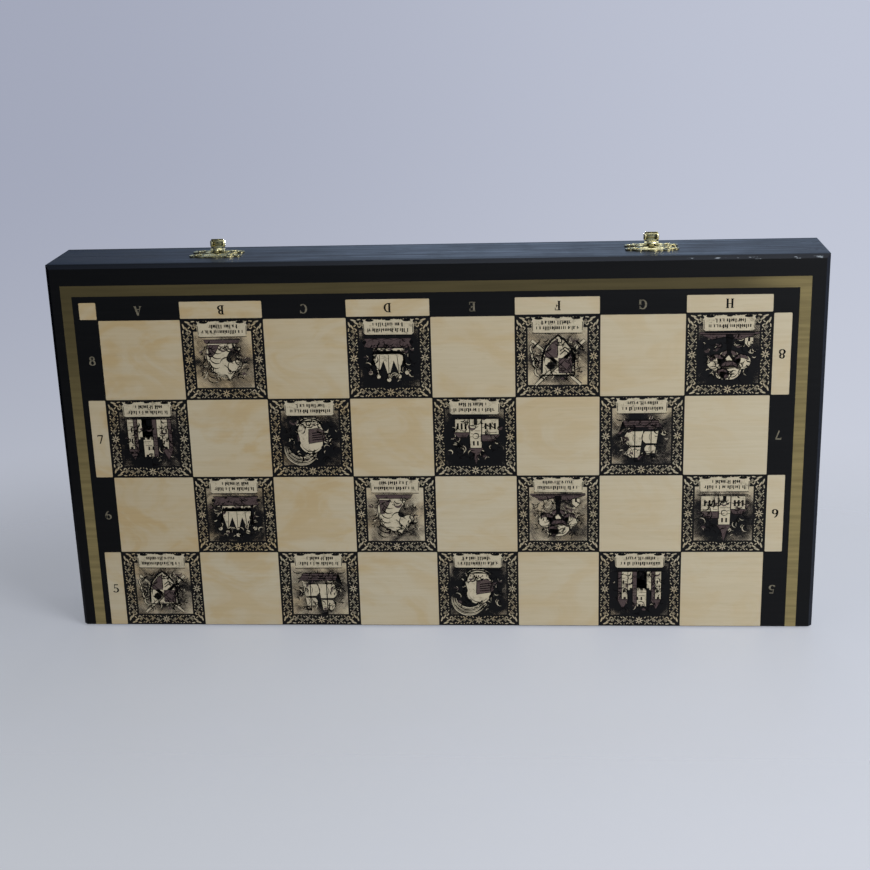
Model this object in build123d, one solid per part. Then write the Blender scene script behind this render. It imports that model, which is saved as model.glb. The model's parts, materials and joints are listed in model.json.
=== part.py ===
from build123d import *
import os
from math import pi, tan

# A folding wooden chess case with its 32 men packed inside, shut and standing on its hinge edge.
# Millimetres. X runs along the case, Y from the front board to the back board, Z up.
# The origin lies under the middle of the hinges, level with the lowest point of their knuckles.

# Case
case_width = 400.0
half_height = 203.0
case_depth = 45.0
seam_gap = 0.3
board_thickness = 4.0
board_chamfer = 2.0
rail_thickness = 10.0
finger_count = 3

# Case hinges, let into the hinge edges
hinge_inset = 70.0
hinge_length = 24.0
leaf_depth = 11.0
leaf_thickness = 0.8
knuckle_radius = 1.0
knuckle_count = 3
hinge_pin_radius = 0.5
hinge_gap = 0.15
screw_spacing = 14.0
screw_head_radius = 1.6
screw_shank_radius = 0.8
screw_length = 8.0

# Latches on the top edge
left_latch_inset = 86.0
right_latch_inset = 87.2
plate_length = 27.5
plate_depth = 9.2
plate_thickness = 0.8
plate_waist = 10.5
wing_radius = 3.3
lobe_radius = 2.5
piercing_radius = 0.9
nail_spacing = 20.6
nail_head_radius = 1.1
nail_head_height = 0.5
nail_shank_radius = 0.5
nail_length = 7.0
hook_width = 2.2
hook_height = 2.5
hook_thickness = 0.9
hook_beak = 0.5
hasp_axis_setback = 2.6
hasp_width = 8.0
hasp_sheet = 0.6
hasp_depth = 2.5
hasp_root = 1.6
hasp_reach = 5.2
hasp_roll_radius = 0.65
barrel_radius = 1.1
barrel_width = 4.4
ear_width = 1.3
latch_pin_radius = 0.5
latch_gap = 0.1

# Trays that hold the men
tray_floor = 1.5
tray_gap = 0.3
tray_recess = 0.5
tray_split_wall = 2.5
pocket_wall = 2.0
pocket_gap = 0.4
relief_gap = 0.8
spare_width = 44.0

# Men: the foot's radius and the height over the felt
king_radius = 14.0
king_height = 74.0
queen_radius = 14.0
queen_height = 67.0
bishop_radius = 12.5
bishop_height = 57.0
knight_radius = 12.5
knight_height = 50.0
rook_radius = 12.5
rook_height = 43.0
pawn_radius = 10.5
pawn_height = 36.0
felt_thickness = 0.8
felt_inset = 0.8
foot_height = 5.0
foot_upright = 3.0
step_share = 0.66
collar_height = 1.6
collar_edge = 0.6
crenel_width = 2.6
crenel_depth = 3.2
mitre_slit = 1.1
mitre_slant = 35.0
knight_thickness = 10.0
turned_sides = 10
felt_sides = 8

# Places that follow from the sizes above
half_width = case_width / 2
rim = seam_gap / 2
axis_z = knuckle_radius
edge_z = axis_z + rim
top_z = edge_z + half_height
outer_y = case_depth / 2
board_y = outer_y - board_thickness
inner_x = half_width - rail_thickness
inner_low_z = edge_z + rail_thickness
inner_high_z = top_z - rail_thickness
hasp_axis_y = hasp_axis_setback
hasp_axis_z = top_z + plate_thickness + latch_gap + barrel_radius


def box_between(low, high):
    """A box from its lowest corner to its highest."""
    size = [b - a for a, b in zip(low, high)]
    middle = [(a + b) / 2 for a, b in zip(low, high)]
    return Pos(*middle) * Box(*size)


def rod(radius, length, x=0.0, y=0.0, z=0.0):
    """A cylinder along X, centred on a point."""
    return Pos(x, y, z) * Rot(0, 90, 0) * Cylinder(radius, length)


def peg(radius, low, high, x, y, sides=6):
    """A flat-sided peg along Z between two heights."""
    return Pos(x, y, low) * extrude(RegularPolygon(radius, sides), high - low)


def turned(*points, sides=turned_sides):
    """A turned solid in flat-sided rings, given as radius and height from foot to top."""
    rings = [Pos(0, 0, height) * RegularPolygon(radius, sides) for radius, height in points]
    return loft(rings, ruled=True)


def to_back(shape):
    """The same piece on the other half, across the parting plane."""
    return mirror(shape, Plane.XZ)


def join(shapes):
    """Separate solids that share one node."""
    return Compound(children=list(shapes))


# Case


def board():
    """The printed plywood panel of the front half, its three outer edges eased."""
    panel = box_between((-half_width, -outer_y, edge_z), (half_width, -board_y, top_z))
    eased = panel.faces().sort_by(Axis.Y)[0].edges().sort_by(Axis.Z)[1:]
    return chamfer(eased, board_chamfer)


def finger_bands():
    """The Y bands of the corner joints, from the board to the rim."""
    pitch = (board_y - rim) / finger_count
    return [(-board_y + pitch * i, -board_y + pitch * (i + 1)) for i in range(finger_count)]


def long_rail(low, high):
    """A rail along the case whose ends have slots for the side rails' fingers."""
    rail = box_between((-half_width, -board_y, low), (half_width, -rim, high))
    for near, far in finger_bands()[1::2]:
        for side in (-1, 1):
            inner, outer = sorted((side * inner_x, side * half_width))
            rail -= box_between((inner, near, low), (outer, far, high))
    return rail


def side_rail(side):
    """A rail up one side, with fingers that pass through the long rails' ends."""
    inner, outer = sorted((side * inner_x, side * half_width))
    rail = box_between((inner, -board_y, inner_low_z), (outer, -rim, inner_high_z))
    for near, far in finger_bands()[1::2]:
        rail += box_between((inner, near, edge_z), (outer, far, top_z))
    return rail


def latch_rail():
    """The top rail, drilled for the latch nails."""
    rail = long_rail(inner_high_z, top_z)
    for x in latch_centres():
        for offset in (-nail_spacing / 2, nail_spacing / 2):
            low = top_z + plate_thickness - nail_length
            rail -= peg(nail_shank_radius, low, top_z, x + offset, nail_y())
    return rail


def hinge_rail():
    """The bottom rail, cut out for the hinge leaves, their knuckles and screws."""
    rail = long_rail(edge_z, inner_low_z)
    reach = hinge_length / 2 + hinge_gap
    for x in hinge_centres():
        low = (x - reach, -leaf_depth - hinge_gap, edge_z)
        rail -= box_between(low, (x + reach, 0, edge_z + leaf_thickness))
        rail -= rod(knuckle_radius + hinge_gap, 2 * reach, x, 0, axis_z)
        for offset in (-screw_spacing / 2, screw_spacing / 2):
            shaft_top = edge_z + screw_length
            rail -= peg(screw_shank_radius, edge_z, shaft_top, x + offset, -leaf_depth / 2)
    return rail


# Case hinges


def hinge_centres():
    """Where the two hinges sit along the case."""
    return (hinge_inset - half_width, half_width - hinge_inset)


def knuckle_spans(owner):
    """The X spans of one leaf's knuckles: the even ones are the front leaf's."""
    pitch = hinge_length / knuckle_count
    spans = []
    for i in range(owner, knuckle_count, 2):
        low = -hinge_length / 2 + pitch * i + hinge_gap / 2
        spans.append((low, low + pitch - hinge_gap))
    return spans


def hinge_leaf(x, owner, bore):
    """One leaf lying in the front half's hinge edge, with its knuckles round the pin."""
    low = (x - hinge_length / 2, -leaf_depth, edge_z)
    leaf = box_between(low, (x + hinge_length / 2, 0, edge_z + leaf_thickness))
    leaf -= rod(knuckle_radius + hinge_gap, hinge_length + hinge_gap, x, 0, axis_z)
    for start, end in knuckle_spans(owner):
        middle = x + (start + end) / 2
        knuckle = rod(knuckle_radius, end - start, middle, 0, axis_z)
        web_low = (x + start, -knuckle_radius - 2 * hinge_gap, edge_z)
        knuckle += box_between(web_low, (x + end, 0, edge_z + leaf_thickness))
        leaf += knuckle
    leaf -= rod(bore, hinge_length, x, 0, axis_z)
    for offset in (-screw_spacing / 2, screw_spacing / 2):
        leaf_top = edge_z + leaf_thickness
        leaf -= peg(screw_head_radius, edge_z, leaf_top, x + offset, -leaf_depth / 2)
    return leaf


def hinge_screws():
    """The front leaves' flat-headed screws."""
    screws = []
    for x in hinge_centres():
        for offset in (-screw_spacing / 2, screw_spacing / 2):
            place = (x + offset, -leaf_depth / 2)
            head = peg(screw_head_radius, edge_z, edge_z + leaf_thickness, *place)
            shank = peg(screw_shank_radius, edge_z, edge_z + screw_length, *place)
            screws.append(head + shank)
    return screws


# Latches


def latch_centres():
    """Where the two latches sit along the case; they are nailed on by hand, not quite evenly."""
    return (left_latch_inset - half_width, half_width - right_latch_inset)


def nail_y():
    """The line of the latch nails, halfway across the front plates."""
    return -(rim + plate_depth / 2)


def winged_plate(x):
    """A pressed front plate: a square waist between two scalloped, pierced wings."""
    outline = Pos(0, nail_y()) * Rectangle(plate_waist, plate_depth)
    tip = plate_length / 2
    for side in (-1, 1):
        lobe_x = side * (tip - lobe_radius)
        wing_x = side * (plate_waist / 2 + wing_radius / 2)
        outline += Pos(lobe_x, nail_y()) * Circle(lobe_radius)
        outline += Pos(wing_x, nail_y()) * Circle(wing_radius)
    for side in (-1, 1):
        nail_x = side * nail_spacing / 2
        outline -= Pos(nail_x, nail_y()) * RegularPolygon(nail_shank_radius, 6)
        wing_x = side * (plate_waist / 2 + wing_radius / 2)
        for across in (-wing_radius / 2, wing_radius / 2):
            outline -= Pos(wing_x, nail_y() + across) * RegularPolygon(piercing_radius, 4)
    return Pos(x, 0, top_z) * extrude(outline, plate_thickness)


def catch_plate(x):
    """The front plate with the hook that the hasp drops over."""
    foot = top_z + plate_thickness
    back = -rim - latch_gap
    front = back - hook_thickness
    outline = Polyline(
        (back, -plate_thickness),
        (back, hook_height - hook_beak),
        (back - hook_thickness / 2, hook_height),
        (front - hook_beak, hook_height - hook_beak),
        (front, hook_height - 2 * hook_beak),
        (front, -plate_thickness),
        close=True,
    )
    blade = extrude(Plane.YZ * make_face(outline), hook_width / 2, both=True)
    return winged_plate(x) + Pos(x, 0, foot) * blade


def hasp_plate(x):
    """The back plate with the two ears that hold the hasp's pin."""
    plate = to_back(winged_plate(x))
    foot = top_z + plate_thickness / 2
    ear_offset = barrel_width / 2 + latch_gap + ear_width / 2
    for side in (-1, 1):
        ear_x = x + side * ear_offset
        low = (ear_x - ear_width / 2, hasp_axis_y - barrel_radius, foot)
        high = (ear_x + ear_width / 2, hasp_axis_y + barrel_radius, hasp_axis_z)
        plate += box_between(low, high)
        plate += rod(barrel_radius, ear_width, ear_x, hasp_axis_y, hasp_axis_z)
    return plate - latch_pin(x)


def latch_pin(x):
    """The pin that runs through both ears and the hasp's barrel."""
    length = barrel_width + 2 * (latch_gap + ear_width)
    return rod(latch_pin_radius, length, x, hasp_axis_y, hasp_axis_z)


def hasp(x):
    """The hasp as photographed, standing up: a barrel, a dish that shuts over the hook, a rolled lip."""
    barrel = rod(barrel_radius, barrel_width)
    front = -hasp_sheet / 2
    half_neck = barrel_width / 2
    half_dish = hasp_width / 2
    neck = box_between((-half_neck, front, 0), (half_neck, -front, hasp_root + hasp_sheet))
    dish = box_between((-half_dish, front, hasp_root), (half_dish, front + hasp_depth, hasp_reach))
    hollow_low = (hasp_sheet - half_dish, front, hasp_root + hasp_sheet)
    hollow_high = (half_dish - hasp_sheet, front + hasp_depth - hasp_sheet, hasp_reach - hasp_sheet)
    dish -= box_between(hollow_low, hollow_high)
    lip = rod(hasp_roll_radius, hasp_width, 0, front + hasp_roll_radius, hasp_reach)
    shape = barrel + neck + dish + lip - rod(latch_pin_radius + latch_gap, barrel_width)
    return Pos(x, hasp_axis_y, hasp_axis_z) * shape


def latch_nails():
    """The nails of both front plates, each with a low domed head."""
    nails = []
    for x in latch_centres():
        for offset in (-nail_spacing / 2, nail_spacing / 2):
            place = (x + offset, nail_y())
            seat = top_z + plate_thickness
            shank = peg(nail_shank_radius, seat - nail_length, seat, *place)
            cap = turned((nail_head_radius, 0), (nail_shank_radius, nail_head_height), sides=6)
            nails.append(shank + Pos(*place, seat) * cap)
    return nails


# Men, modelled standing with the foot at z = 0


def stem_points(radius, neck_radius, neck_height):
    """The foot, its step, the tapering stem and the collar that every man shares."""
    collar_radius = neck_radius + 2 * collar_height
    return [
        (radius, 0),
        (radius, foot_upright),
        (radius * step_share, foot_height + collar_height),
        (neck_radius, neck_height),
        (collar_radius, neck_height + collar_edge),
        (neck_radius, neck_height + collar_height),
    ]


def pawn():
    """A stem, a collar and a ball."""
    ball = pawn_radius * 0.58
    facet = ball * tan(pi / turned_sides)
    centre = pawn_height - ball
    neck = centre - 0.9 * ball - collar_height
    return turned(
        *stem_points(pawn_radius, pawn_radius * 0.34, neck),
        (ball, centre - facet),
        (ball, centre + facet),
        (facet, pawn_height),
    )


def rook():
    """A tower with a flared, crenellated head."""
    wall = rook_radius * 0.66
    well = wall * 0.62
    neck = rook_height - 3.6 * crenel_depth
    flare_top = neck + 2.4 * collar_height
    body = turned(
        *stem_points(rook_radius, rook_radius * 0.46, neck),
        (wall, flare_top),
        (wall, rook_height),
    )
    body -= peg(well, rook_height - crenel_depth, rook_height, 0, 0, turned_sides)
    for turn in (0, 90):
        slot = Box(3 * wall, crenel_width, 2 * crenel_depth)
        body -= Pos(0, 0, rook_height) * Rot(0, 0, turn) * slot
    return body


def bishop():
    """A mitre with its slanting cut, and a bead on top."""
    neck = bishop_height * 0.56
    belly = bishop_height * 0.7
    shoulder = bishop_height * 0.8
    widest = bishop_radius * 0.54
    bead = bishop_radius * 0.18
    body = turned(
        *stem_points(bishop_radius, bishop_radius * 0.32, neck),
        (widest, belly),
        (widest * 0.88, shoulder),
        (bead * 0.7, bishop_height - 2 * bead),
        (bead, bishop_height - bead),
        (bead / 2, bishop_height),
    )
    slit = Box(mitre_slit, 3 * widest, 2 * bishop_radius - 2 * widest)
    return body - Pos(widest, 0, shoulder) * Rot(0, mitre_slant, 0) * slit


def queen():
    """A flared, notched coronet with a ball on top."""
    neck = queen_height * 0.62
    cup = queen_height * 0.77
    coronet = queen_height * 0.9
    dome = queen_height * 0.92
    flare = queen_radius * 0.6
    ball = queen_radius * 0.2
    notch_side = ball * 0.8
    body = turned(
        *stem_points(queen_radius, queen_radius * 0.3, neck),
        (flare * 0.7, cup),
        (flare, coronet),
        (ball * 0.7, dome),
        (ball, queen_height - ball),
        (ball / 2, queen_height),
    )
    for turn in (0, 45, 90, 135):
        notch = Rot(45, 0, 0) * Box(3 * flare, notch_side, notch_side)
        body -= Pos(0, 0, coronet) * Rot(0, 0, turn) * notch
    return body


def king():
    """A plain flared crown that carries a small cross."""
    neck = king_height * 0.6
    cup = king_height * 0.72
    crown = king_height * 0.83
    dome = king_height * 0.87
    cross = king_height * 0.94
    flare = king_radius * 0.6
    arm = king_radius * 0.15
    body = turned(
        *stem_points(king_radius, king_radius * 0.32, neck),
        (flare * 0.72, cup),
        (flare, crown),
        (arm, dome),
    )
    post = box_between((-arm, -arm, crown), (arm, arm, king_height))
    bar = box_between((-3 * arm, -arm, cross - arm), (3 * arm, arm, cross + arm))
    return body + post + bar


def knight():
    """A horse's head and neck, cut from one board and bevelled, on a turned foot."""
    low = foot_height + 2 * collar_height
    rise = knight_height - low
    deep = knight_radius * 0.68
    foot = turned(
        (knight_radius, 0),
        (knight_radius, foot_height * 0.6),
        (knight_radius * 0.8, foot_height),
        (knight_radius * 0.74, low),
    )
    outline = Polyline(
        (-deep, foot_height),
        (deep * 0.9, foot_height),
        (deep * 0.45, low + 0.3 * rise),
        (deep * 0.35, low + 0.45 * rise),
        (deep * 0.75, low + 0.5 * rise),
        (deep * 1.2, low + 0.42 * rise),
        (deep * 1.45, low + 0.5 * rise),
        (deep * 1.35, low + 0.62 * rise),
        (deep * 0.6, low + 0.84 * rise),
        (deep * 0.3, knight_height),
        (-deep * 0.1, low + 0.88 * rise),
        (-deep * 0.75, low + 0.74 * rise),
        (-deep * 1.15, low + 0.5 * rise),
        (-deep * 1.15, low + 0.22 * rise),
        close=True,
    )
    face = Plane.XZ * make_face(outline)
    head = extrude(face, knight_thickness / 2, both=True, taper=14)
    return foot + head


MEN = {
    "rook": (rook, rook_radius, rook_height),
    "knight": (knight, knight_radius, knight_height),
    "bishop": (bishop, bishop_radius, bishop_height),
    "queen": (queen, queen_radius, queen_height),
    "king": (king, king_radius, king_height),
    "pawn": (pawn, pawn_radius, pawn_height),
}
BACK_ROW = ("rook", "knight", "bishop", "queen", "king", "bishop", "knight", "rook")
PAWN_COLUMNS = 4
PAWN_ROWS = 2

# Trays and the men's places in them

widest_radius = max(radius for shape, radius, height in MEN.values())
man_axis = board_y - tray_floor - pocket_gap - widest_radius
relief_depth = widest_radius - man_axis + relief_gap
split_z = (inner_low_z + inner_high_z) / 2


def pocket_centres():
    """Each pocket's man, X centre and column of pawns, from the left wall of the tray."""
    x = -inner_x + tray_gap + pocket_wall
    places = []
    for name in BACK_ROW:
        radius = MEN[name][1] + pocket_gap
        places.append((name, x + radius, 0))
        x += 2 * radius + pocket_wall
    for column in range(PAWN_COLUMNS):
        radius = pawn_radius + pocket_gap
        for row in range(PAWN_ROWS):
            places.append(("pawn", x + radius, row))
        x += 2 * radius + pocket_wall
    return places, x


def pocket_foot(name, row, upper):
    """The height of a pocket's lower end in the upper or the lower half of the case."""
    length = MEN[name][2] + felt_thickness + 2 * pocket_gap
    start = split_z + tray_split_wall / 2 if upper else split_z - tray_split_wall / 2
    offset = row * (length + pocket_wall)
    return start + offset if upper else start - offset - length


def pocket(name, x, foot):
    """The space cut for one man: an eight-sided trough open at the parting plane."""
    radius = MEN[name][1] + pocket_gap
    length = MEN[name][2] + felt_thickness + 2 * pocket_gap
    flat = radius * tan(pi / 8)
    outline = Polyline(
        (-radius, man_axis),
        (-radius, -flat),
        (-flat, -radius),
        (flat, -radius),
        (radius, -flat),
        (radius, man_axis),
        close=True,
    )
    return Pos(x, -man_axis, foot) * extrude(make_face(outline), length)


def tray(upper):
    """A flocked insert: pockets for its own men, a relief that clears the other half's."""
    margin = tray_gap
    low = (-inner_x + margin, -board_y, inner_low_z + margin)
    high = (inner_x - margin, -rim - tray_recess, inner_high_z - margin)
    body = box_between(low, high)
    relief_low = low[2] + pocket_wall if upper else split_z + tray_split_wall / 2
    relief_high = split_z - tray_split_wall / 2 if upper else high[2] - pocket_wall
    body -= box_between(
        (low[0] + pocket_wall, -relief_depth, relief_low),
        (high[0] - pocket_wall, 0, relief_high),
    )
    places, x = pocket_centres()
    for name, centre, row in places:
        body -= pocket(name, centre, pocket_foot(name, row, upper))
    spare_low = split_z + tray_split_wall / 2 if upper else low[2] + pocket_wall
    spare_high = high[2] - pocket_wall if upper else split_z - tray_split_wall / 2
    body -= box_between((x, -board_y + tray_floor, spare_low), (x + spare_width, 0, spare_high))
    return body


def placed_men(upper):
    """The men of one colour and their felts, in the front half's tray."""
    shapes = {name: shape() for name, (shape, radius, height) in MEN.items()}
    groups = {name: [] for name in MEN}
    felts = []
    for name, x, row in pocket_centres()[0]:
        foot = pocket_foot(name, row, upper) + pocket_gap
        place = Pos(x, -man_axis, foot + felt_thickness)
        groups[name].append(place * shapes[name])
        felt_radius = MEN[name][1] - felt_inset
        felt = peg(felt_radius, foot, foot + felt_thickness, x, -man_axis, felt_sides)
        felts.append(felt)
    return groups, felts


def build_half(prefix, upper, turn):
    """Every node of one half; turn carries a front-half piece to this half."""
    nodes = {
        "board": turn(board()),
        "latch_rail": turn(latch_rail()),
        "hinge_rail": turn(hinge_rail()),
        "left_rail": turn(side_rail(-1)),
        "right_rail": turn(side_rail(1)),
        "tray": turn(tray(upper)),
        "latch_nails": join(turn(nail) for nail in latch_nails()),
        "hinge_screws": join(turn(screw) for screw in hinge_screws()),
    }
    return {f"{prefix}_{name}": shape for name, shape in nodes.items()}


def build_men(colour, upper, turn):
    """The nodes of one colour's men and felts."""
    groups, felts = placed_men(upper)
    nodes = {}
    for name, shapes in groups.items():
        label = name if len(shapes) == 1 else name + "s"
        nodes[f"{colour}_{label}"] = join(turn(shape) for shape in shapes)
    nodes[f"{colour}_felts"] = join(turn(felt) for felt in felts)
    return nodes


def build_hardware():
    """The nodes of the hinges and latches, named by the side they are on."""
    nodes = {}
    for side, hinge_x, latch_x in zip(("left", "right"), hinge_centres(), latch_centres()):
        nodes[f"{side}_hinge_front_leaf"] = hinge_leaf(hinge_x, 0, hinge_pin_radius)
        back_bore = hinge_pin_radius + hinge_gap
        nodes[f"{side}_hinge_back_leaf"] = to_back(hinge_leaf(hinge_x, 1, back_bore))
        nodes[f"{side}_hinge_pin"] = rod(hinge_pin_radius, hinge_length, hinge_x, 0, axis_z)
        nodes[f"{side}_catch_plate"] = catch_plate(latch_x)
        nodes[f"{side}_hasp_plate"] = hasp_plate(latch_x)
        nodes[f"{side}_hasp"] = hasp(latch_x)
        nodes[f"{side}_hasp_pin"] = latch_pin(latch_x)
    return nodes


def main():
    """Build every node and write one STEP file for each."""
    nodes = build_half("front", True, lambda shape: shape)
    nodes.update(build_half("back", False, to_back))
    nodes.update(build_men("black", True, lambda shape: shape))
    nodes.update(build_men("white", False, to_back))
    nodes.update(build_hardware())
    os.makedirs("parts", exist_ok=True)
    for name, shape in nodes.items():
        export_step(shape, f"parts/{name}.step")
    print(len(nodes), "nodes")


main()
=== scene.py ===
"""The looks of a folding chess set: its case, printed boards, latches, hinges, trays and men.

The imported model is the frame. Every piece here is dressed on it, in metres, with +X along the case,
+Y from the front board to the back board and +Z from the hinge edge up to the latches.
"""

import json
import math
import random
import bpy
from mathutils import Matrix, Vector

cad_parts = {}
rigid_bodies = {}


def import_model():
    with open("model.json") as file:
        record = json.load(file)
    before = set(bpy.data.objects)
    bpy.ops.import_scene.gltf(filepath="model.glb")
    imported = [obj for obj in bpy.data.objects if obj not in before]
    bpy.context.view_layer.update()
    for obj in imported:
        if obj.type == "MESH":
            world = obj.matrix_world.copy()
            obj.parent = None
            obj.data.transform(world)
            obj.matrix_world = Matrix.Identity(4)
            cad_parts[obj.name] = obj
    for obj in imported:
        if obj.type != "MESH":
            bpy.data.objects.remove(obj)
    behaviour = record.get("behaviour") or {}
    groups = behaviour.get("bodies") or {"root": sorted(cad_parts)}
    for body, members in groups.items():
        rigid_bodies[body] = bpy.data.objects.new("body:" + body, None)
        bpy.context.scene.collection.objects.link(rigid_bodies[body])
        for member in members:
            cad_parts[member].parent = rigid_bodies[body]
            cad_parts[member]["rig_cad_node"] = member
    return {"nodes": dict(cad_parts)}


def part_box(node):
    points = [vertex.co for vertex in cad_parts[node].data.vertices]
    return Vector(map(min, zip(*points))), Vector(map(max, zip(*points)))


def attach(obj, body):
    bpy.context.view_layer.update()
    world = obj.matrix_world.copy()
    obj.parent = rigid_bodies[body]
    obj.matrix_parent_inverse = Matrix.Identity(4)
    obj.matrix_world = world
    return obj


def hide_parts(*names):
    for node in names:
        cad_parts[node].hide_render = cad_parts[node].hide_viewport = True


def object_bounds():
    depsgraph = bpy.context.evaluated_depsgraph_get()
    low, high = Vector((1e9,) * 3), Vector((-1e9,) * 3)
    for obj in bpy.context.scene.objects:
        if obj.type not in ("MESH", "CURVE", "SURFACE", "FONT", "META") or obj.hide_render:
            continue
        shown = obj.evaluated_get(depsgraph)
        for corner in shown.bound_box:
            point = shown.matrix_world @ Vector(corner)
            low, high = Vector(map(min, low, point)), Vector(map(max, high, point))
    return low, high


bl_info = {
    "name": "Folding Chess Set",
    "version": (1, 0, 0),
    "blender": (4, 5, 0),
    "location": "View3D > Sidebar > Chess Set",
    "description": "Dresses a folding chess case and its men, piece by piece",
    "category": "Object",
}

import bpy
from mathutils import Matrix, Quaternion, Vector

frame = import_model()
CAD_LOW, CAD_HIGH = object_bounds()

MM = 0.001
HALVES = ("front", "back")
SIDES = ("left", "right")
COLUMNS, ROWS = 8, 4
MIDDLE_COLUMN = (COLUMNS - 1) / 2
BOARD_LOW, BOARD_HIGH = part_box("front_board")
HINGE_EDGE = BOARD_LOW.z
PRINT_FACE = -BOARD_LOW.y

# The frame's round solids have few flats, and their boxes fall a little short in Y: where their
# farthest corner lies, in degrees
MAN_CORNER = 72
SMALL_CORNER = 60

MERGE = 0.002 * MM
BORE_GAP = 0.1 * MM
GAP_ROUND = 0.12 * MM
CROSS_ROUND = 0.15 * MM
FLOCK_ROUND = 0.55 * MM
FELT_ROUND = 0.2 * MM
TURNED_SEGMENTS = 40
TURNED_SMOOTH = 32
QUEEN_NOTCHES = 10
QUEEN_TURN = math.radians(2.25)
UPRIGHT = (math.pi / 2, 0, 0)
SIDEWAYS = (math.pi / 2, 0, math.pi / 2)


def tone(red, green, blue):
    """A colour as the eye reads it, 0 to 255, in the light's own scale."""
    channels = []
    for value in (red, green, blue):
        share = value / 255
        low = share / 12.92
        high = ((share + 0.055) / 1.055) ** 2.4
        channels.append(low if share <= 0.04045 else high)
    return tuple(channels)


def length_property(name, description, size):
    """A length that the panel shows, given in millimetres."""
    return bpy.props.FloatProperty(name=name, description=description, default=size * MM, unit="LENGTH")


def colour_property(name, description, colour):
    """A colour that the panel shows."""
    return bpy.props.FloatVectorProperty(
        name=name, description=description, default=colour, subtype="COLOR", size=3, min=0, max=1
    )


class ChessPrintSizes(bpy.types.PropertyGroup):
    """Where the print lies on each board, from the middle of the case and from its hinge edge."""

    square: length_property("Square", "Side of one printed square", 43.4)
    shift: length_property("Shift", "How far the print sits off the middle of the case", -0.95)
    line: length_property("Line", "Width of the dark line left round a light square", 0.35)
    strip_inner: length_property("Strip inner edge", "Inner edge of the coordinate cells", 174.1)
    strip_outer: length_property("Strip outer edge", "Outer edge of the coordinate cells", 183.1)
    stripe_inner: length_property("Stripe inner edge", "Inner edge of the gold stripe", 186.4)
    stripe_outer: length_property("Stripe outer edge", "Outer edge of the gold stripe", 192.1)
    picture: length_property("Picture", "Half the width of the picture in a dark square", 15.2)
    letter: length_property("Letter", "Height of the coordinate letters and numbers", 4.9)
    ink: length_property("Ink", "How far the ink stands proud of the veneer", 0.03)


class ChessLatchSizes(bpy.types.PropertyGroup):
    """Thicknesses and small radii of the brass fittings."""

    plate: length_property("Plate", "Height of a pressed plate's rim", 0.8)
    piercing: length_property("Piercing", "Radius of the holes pierced in a plate", 0.62)
    edge: length_property("Edge", "Rounding of the brass edges", 0.12)
    hook: length_property("Hook", "Width of the hook", 2.2)
    sheet: length_property("Sheet", "Thickness of the hasp's sheet", 0.6)
    root: length_property("Root", "How far above its pin the hasp's dish begins", 1.2)
    roll: length_property("Roll", "Radius of the hasp's rolled lip", 0.65)
    barrel: length_property("Barrel", "Radius of the hasp's barrel", 1.1)
    pin: length_property("Pin", "Radius of the hasp's pin", 0.5)
    ear: length_property("Ear", "Width of each ear beside the barrel", 1.3)
    slot: length_property("Slot", "Width of a screw's slot", 0.5)


class ChessColours(bpy.types.PropertyGroup):
    """The finishes' colours."""

    veneer: colour_property("Veneer", "Pale birch veneer", tone(189, 180, 157))
    # The warm veneer also carries painted shade, where the clouds thicken towards -X
    veneer_warm: colour_property("Warm veneer", "Warmer clouds in the veneer", tone(182, 162, 124))
    ink: colour_property("Ink", "Black print", tone(6, 6, 6))
    worn_ink: colour_property("Worn ink", "Black print where the grain shows in it", tone(12, 12, 12))
    pale_print: colour_property("Pale print", "Coordinates on the black border", tone(122, 117, 102))
    sepia: colour_property("Sepia", "Half tones of the pictures", tone(78, 66, 66))
    gold: colour_property("Gold", "Matt gold stripe", tone(134, 122, 84))
    stain: colour_property("Stain", "Black stain on the rails", tone(12, 16, 24))
    bare: colour_property("Bare wood", "Wood that shows where the stain is chipped", tone(132, 140, 148))
    brass: colour_property("Brass", "Brass of the fittings", tone(214, 205, 160))
    tarnish: colour_property("Tarnish", "Tarnish on the fittings", tone(106, 96, 52))
    steel: colour_property("Nail brass", "Brass of the nails and screws", tone(196, 188, 146))
    flock: colour_property("Flock", "Flocked trays", tone(26, 74, 48))
    felt: colour_property("Felt", "Felt under the men", tone(38, 96, 58))
    black_men: colour_property("Black men", "Stained wood of the black men", tone(52, 32, 22))
    white_men: colour_property("White men", "Clear wood of the white men", tone(214, 184, 138))
    backdrop_dark: colour_property("Dark backdrop", "Backdrop on the left", tone(162, 167, 185))
    backdrop_light: colour_property("Light backdrop", "Backdrop on the right", tone(193, 198, 214))
    room_dark: colour_property("Dark room", "What level faces mirror on the left", tone(68, 80, 104))
    room_light: colour_property("Window", "What level faces mirror in the middle", tone(192, 216, 250))
    room_low: colour_property("Dark below", "What upright faces mirror on the left", tone(22, 22, 24))
    room_side: colour_property("Light below", "What upright faces mirror on the right", tone(172, 182, 206))
    table_dark: colour_property("Dark table", "Table in front on the left", tone(190, 194, 202))
    table_light: colour_property("Light table", "Table in front on the right", tone(209, 213, 223))
    plain_light: colour_property("Plain light", "Soft light from all round", (0.97, 0.93, 0.88))


def sizes():
    """The print's sizes in this scene."""
    return bpy.context.scene.chess_print


def fittings():
    """The fittings' sizes in this scene."""
    return bpy.context.scene.chess_latch


def colours():
    """The finishes' colours in this scene."""
    return bpy.context.scene.chess_colours


# Selecting and finishing pieces


def deselect():
    """Leave nothing selected."""
    bpy.ops.object.select_all(action="DESELECT")


def make_active(piece):
    """Select this piece alone."""
    deselect()
    piece.select_set(True)
    bpy.context.view_layer.objects.active = piece


def select_faces(piece, wanted):
    """Select the faces whose centre and normal the test accepts, and nothing else."""
    mesh = piece.data
    for group in (mesh.vertices, mesh.edges):
        group.foreach_set("select", [False] * len(group))
    for face in mesh.polygons:
        face.select = wanted(face.center, face.normal)


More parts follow.
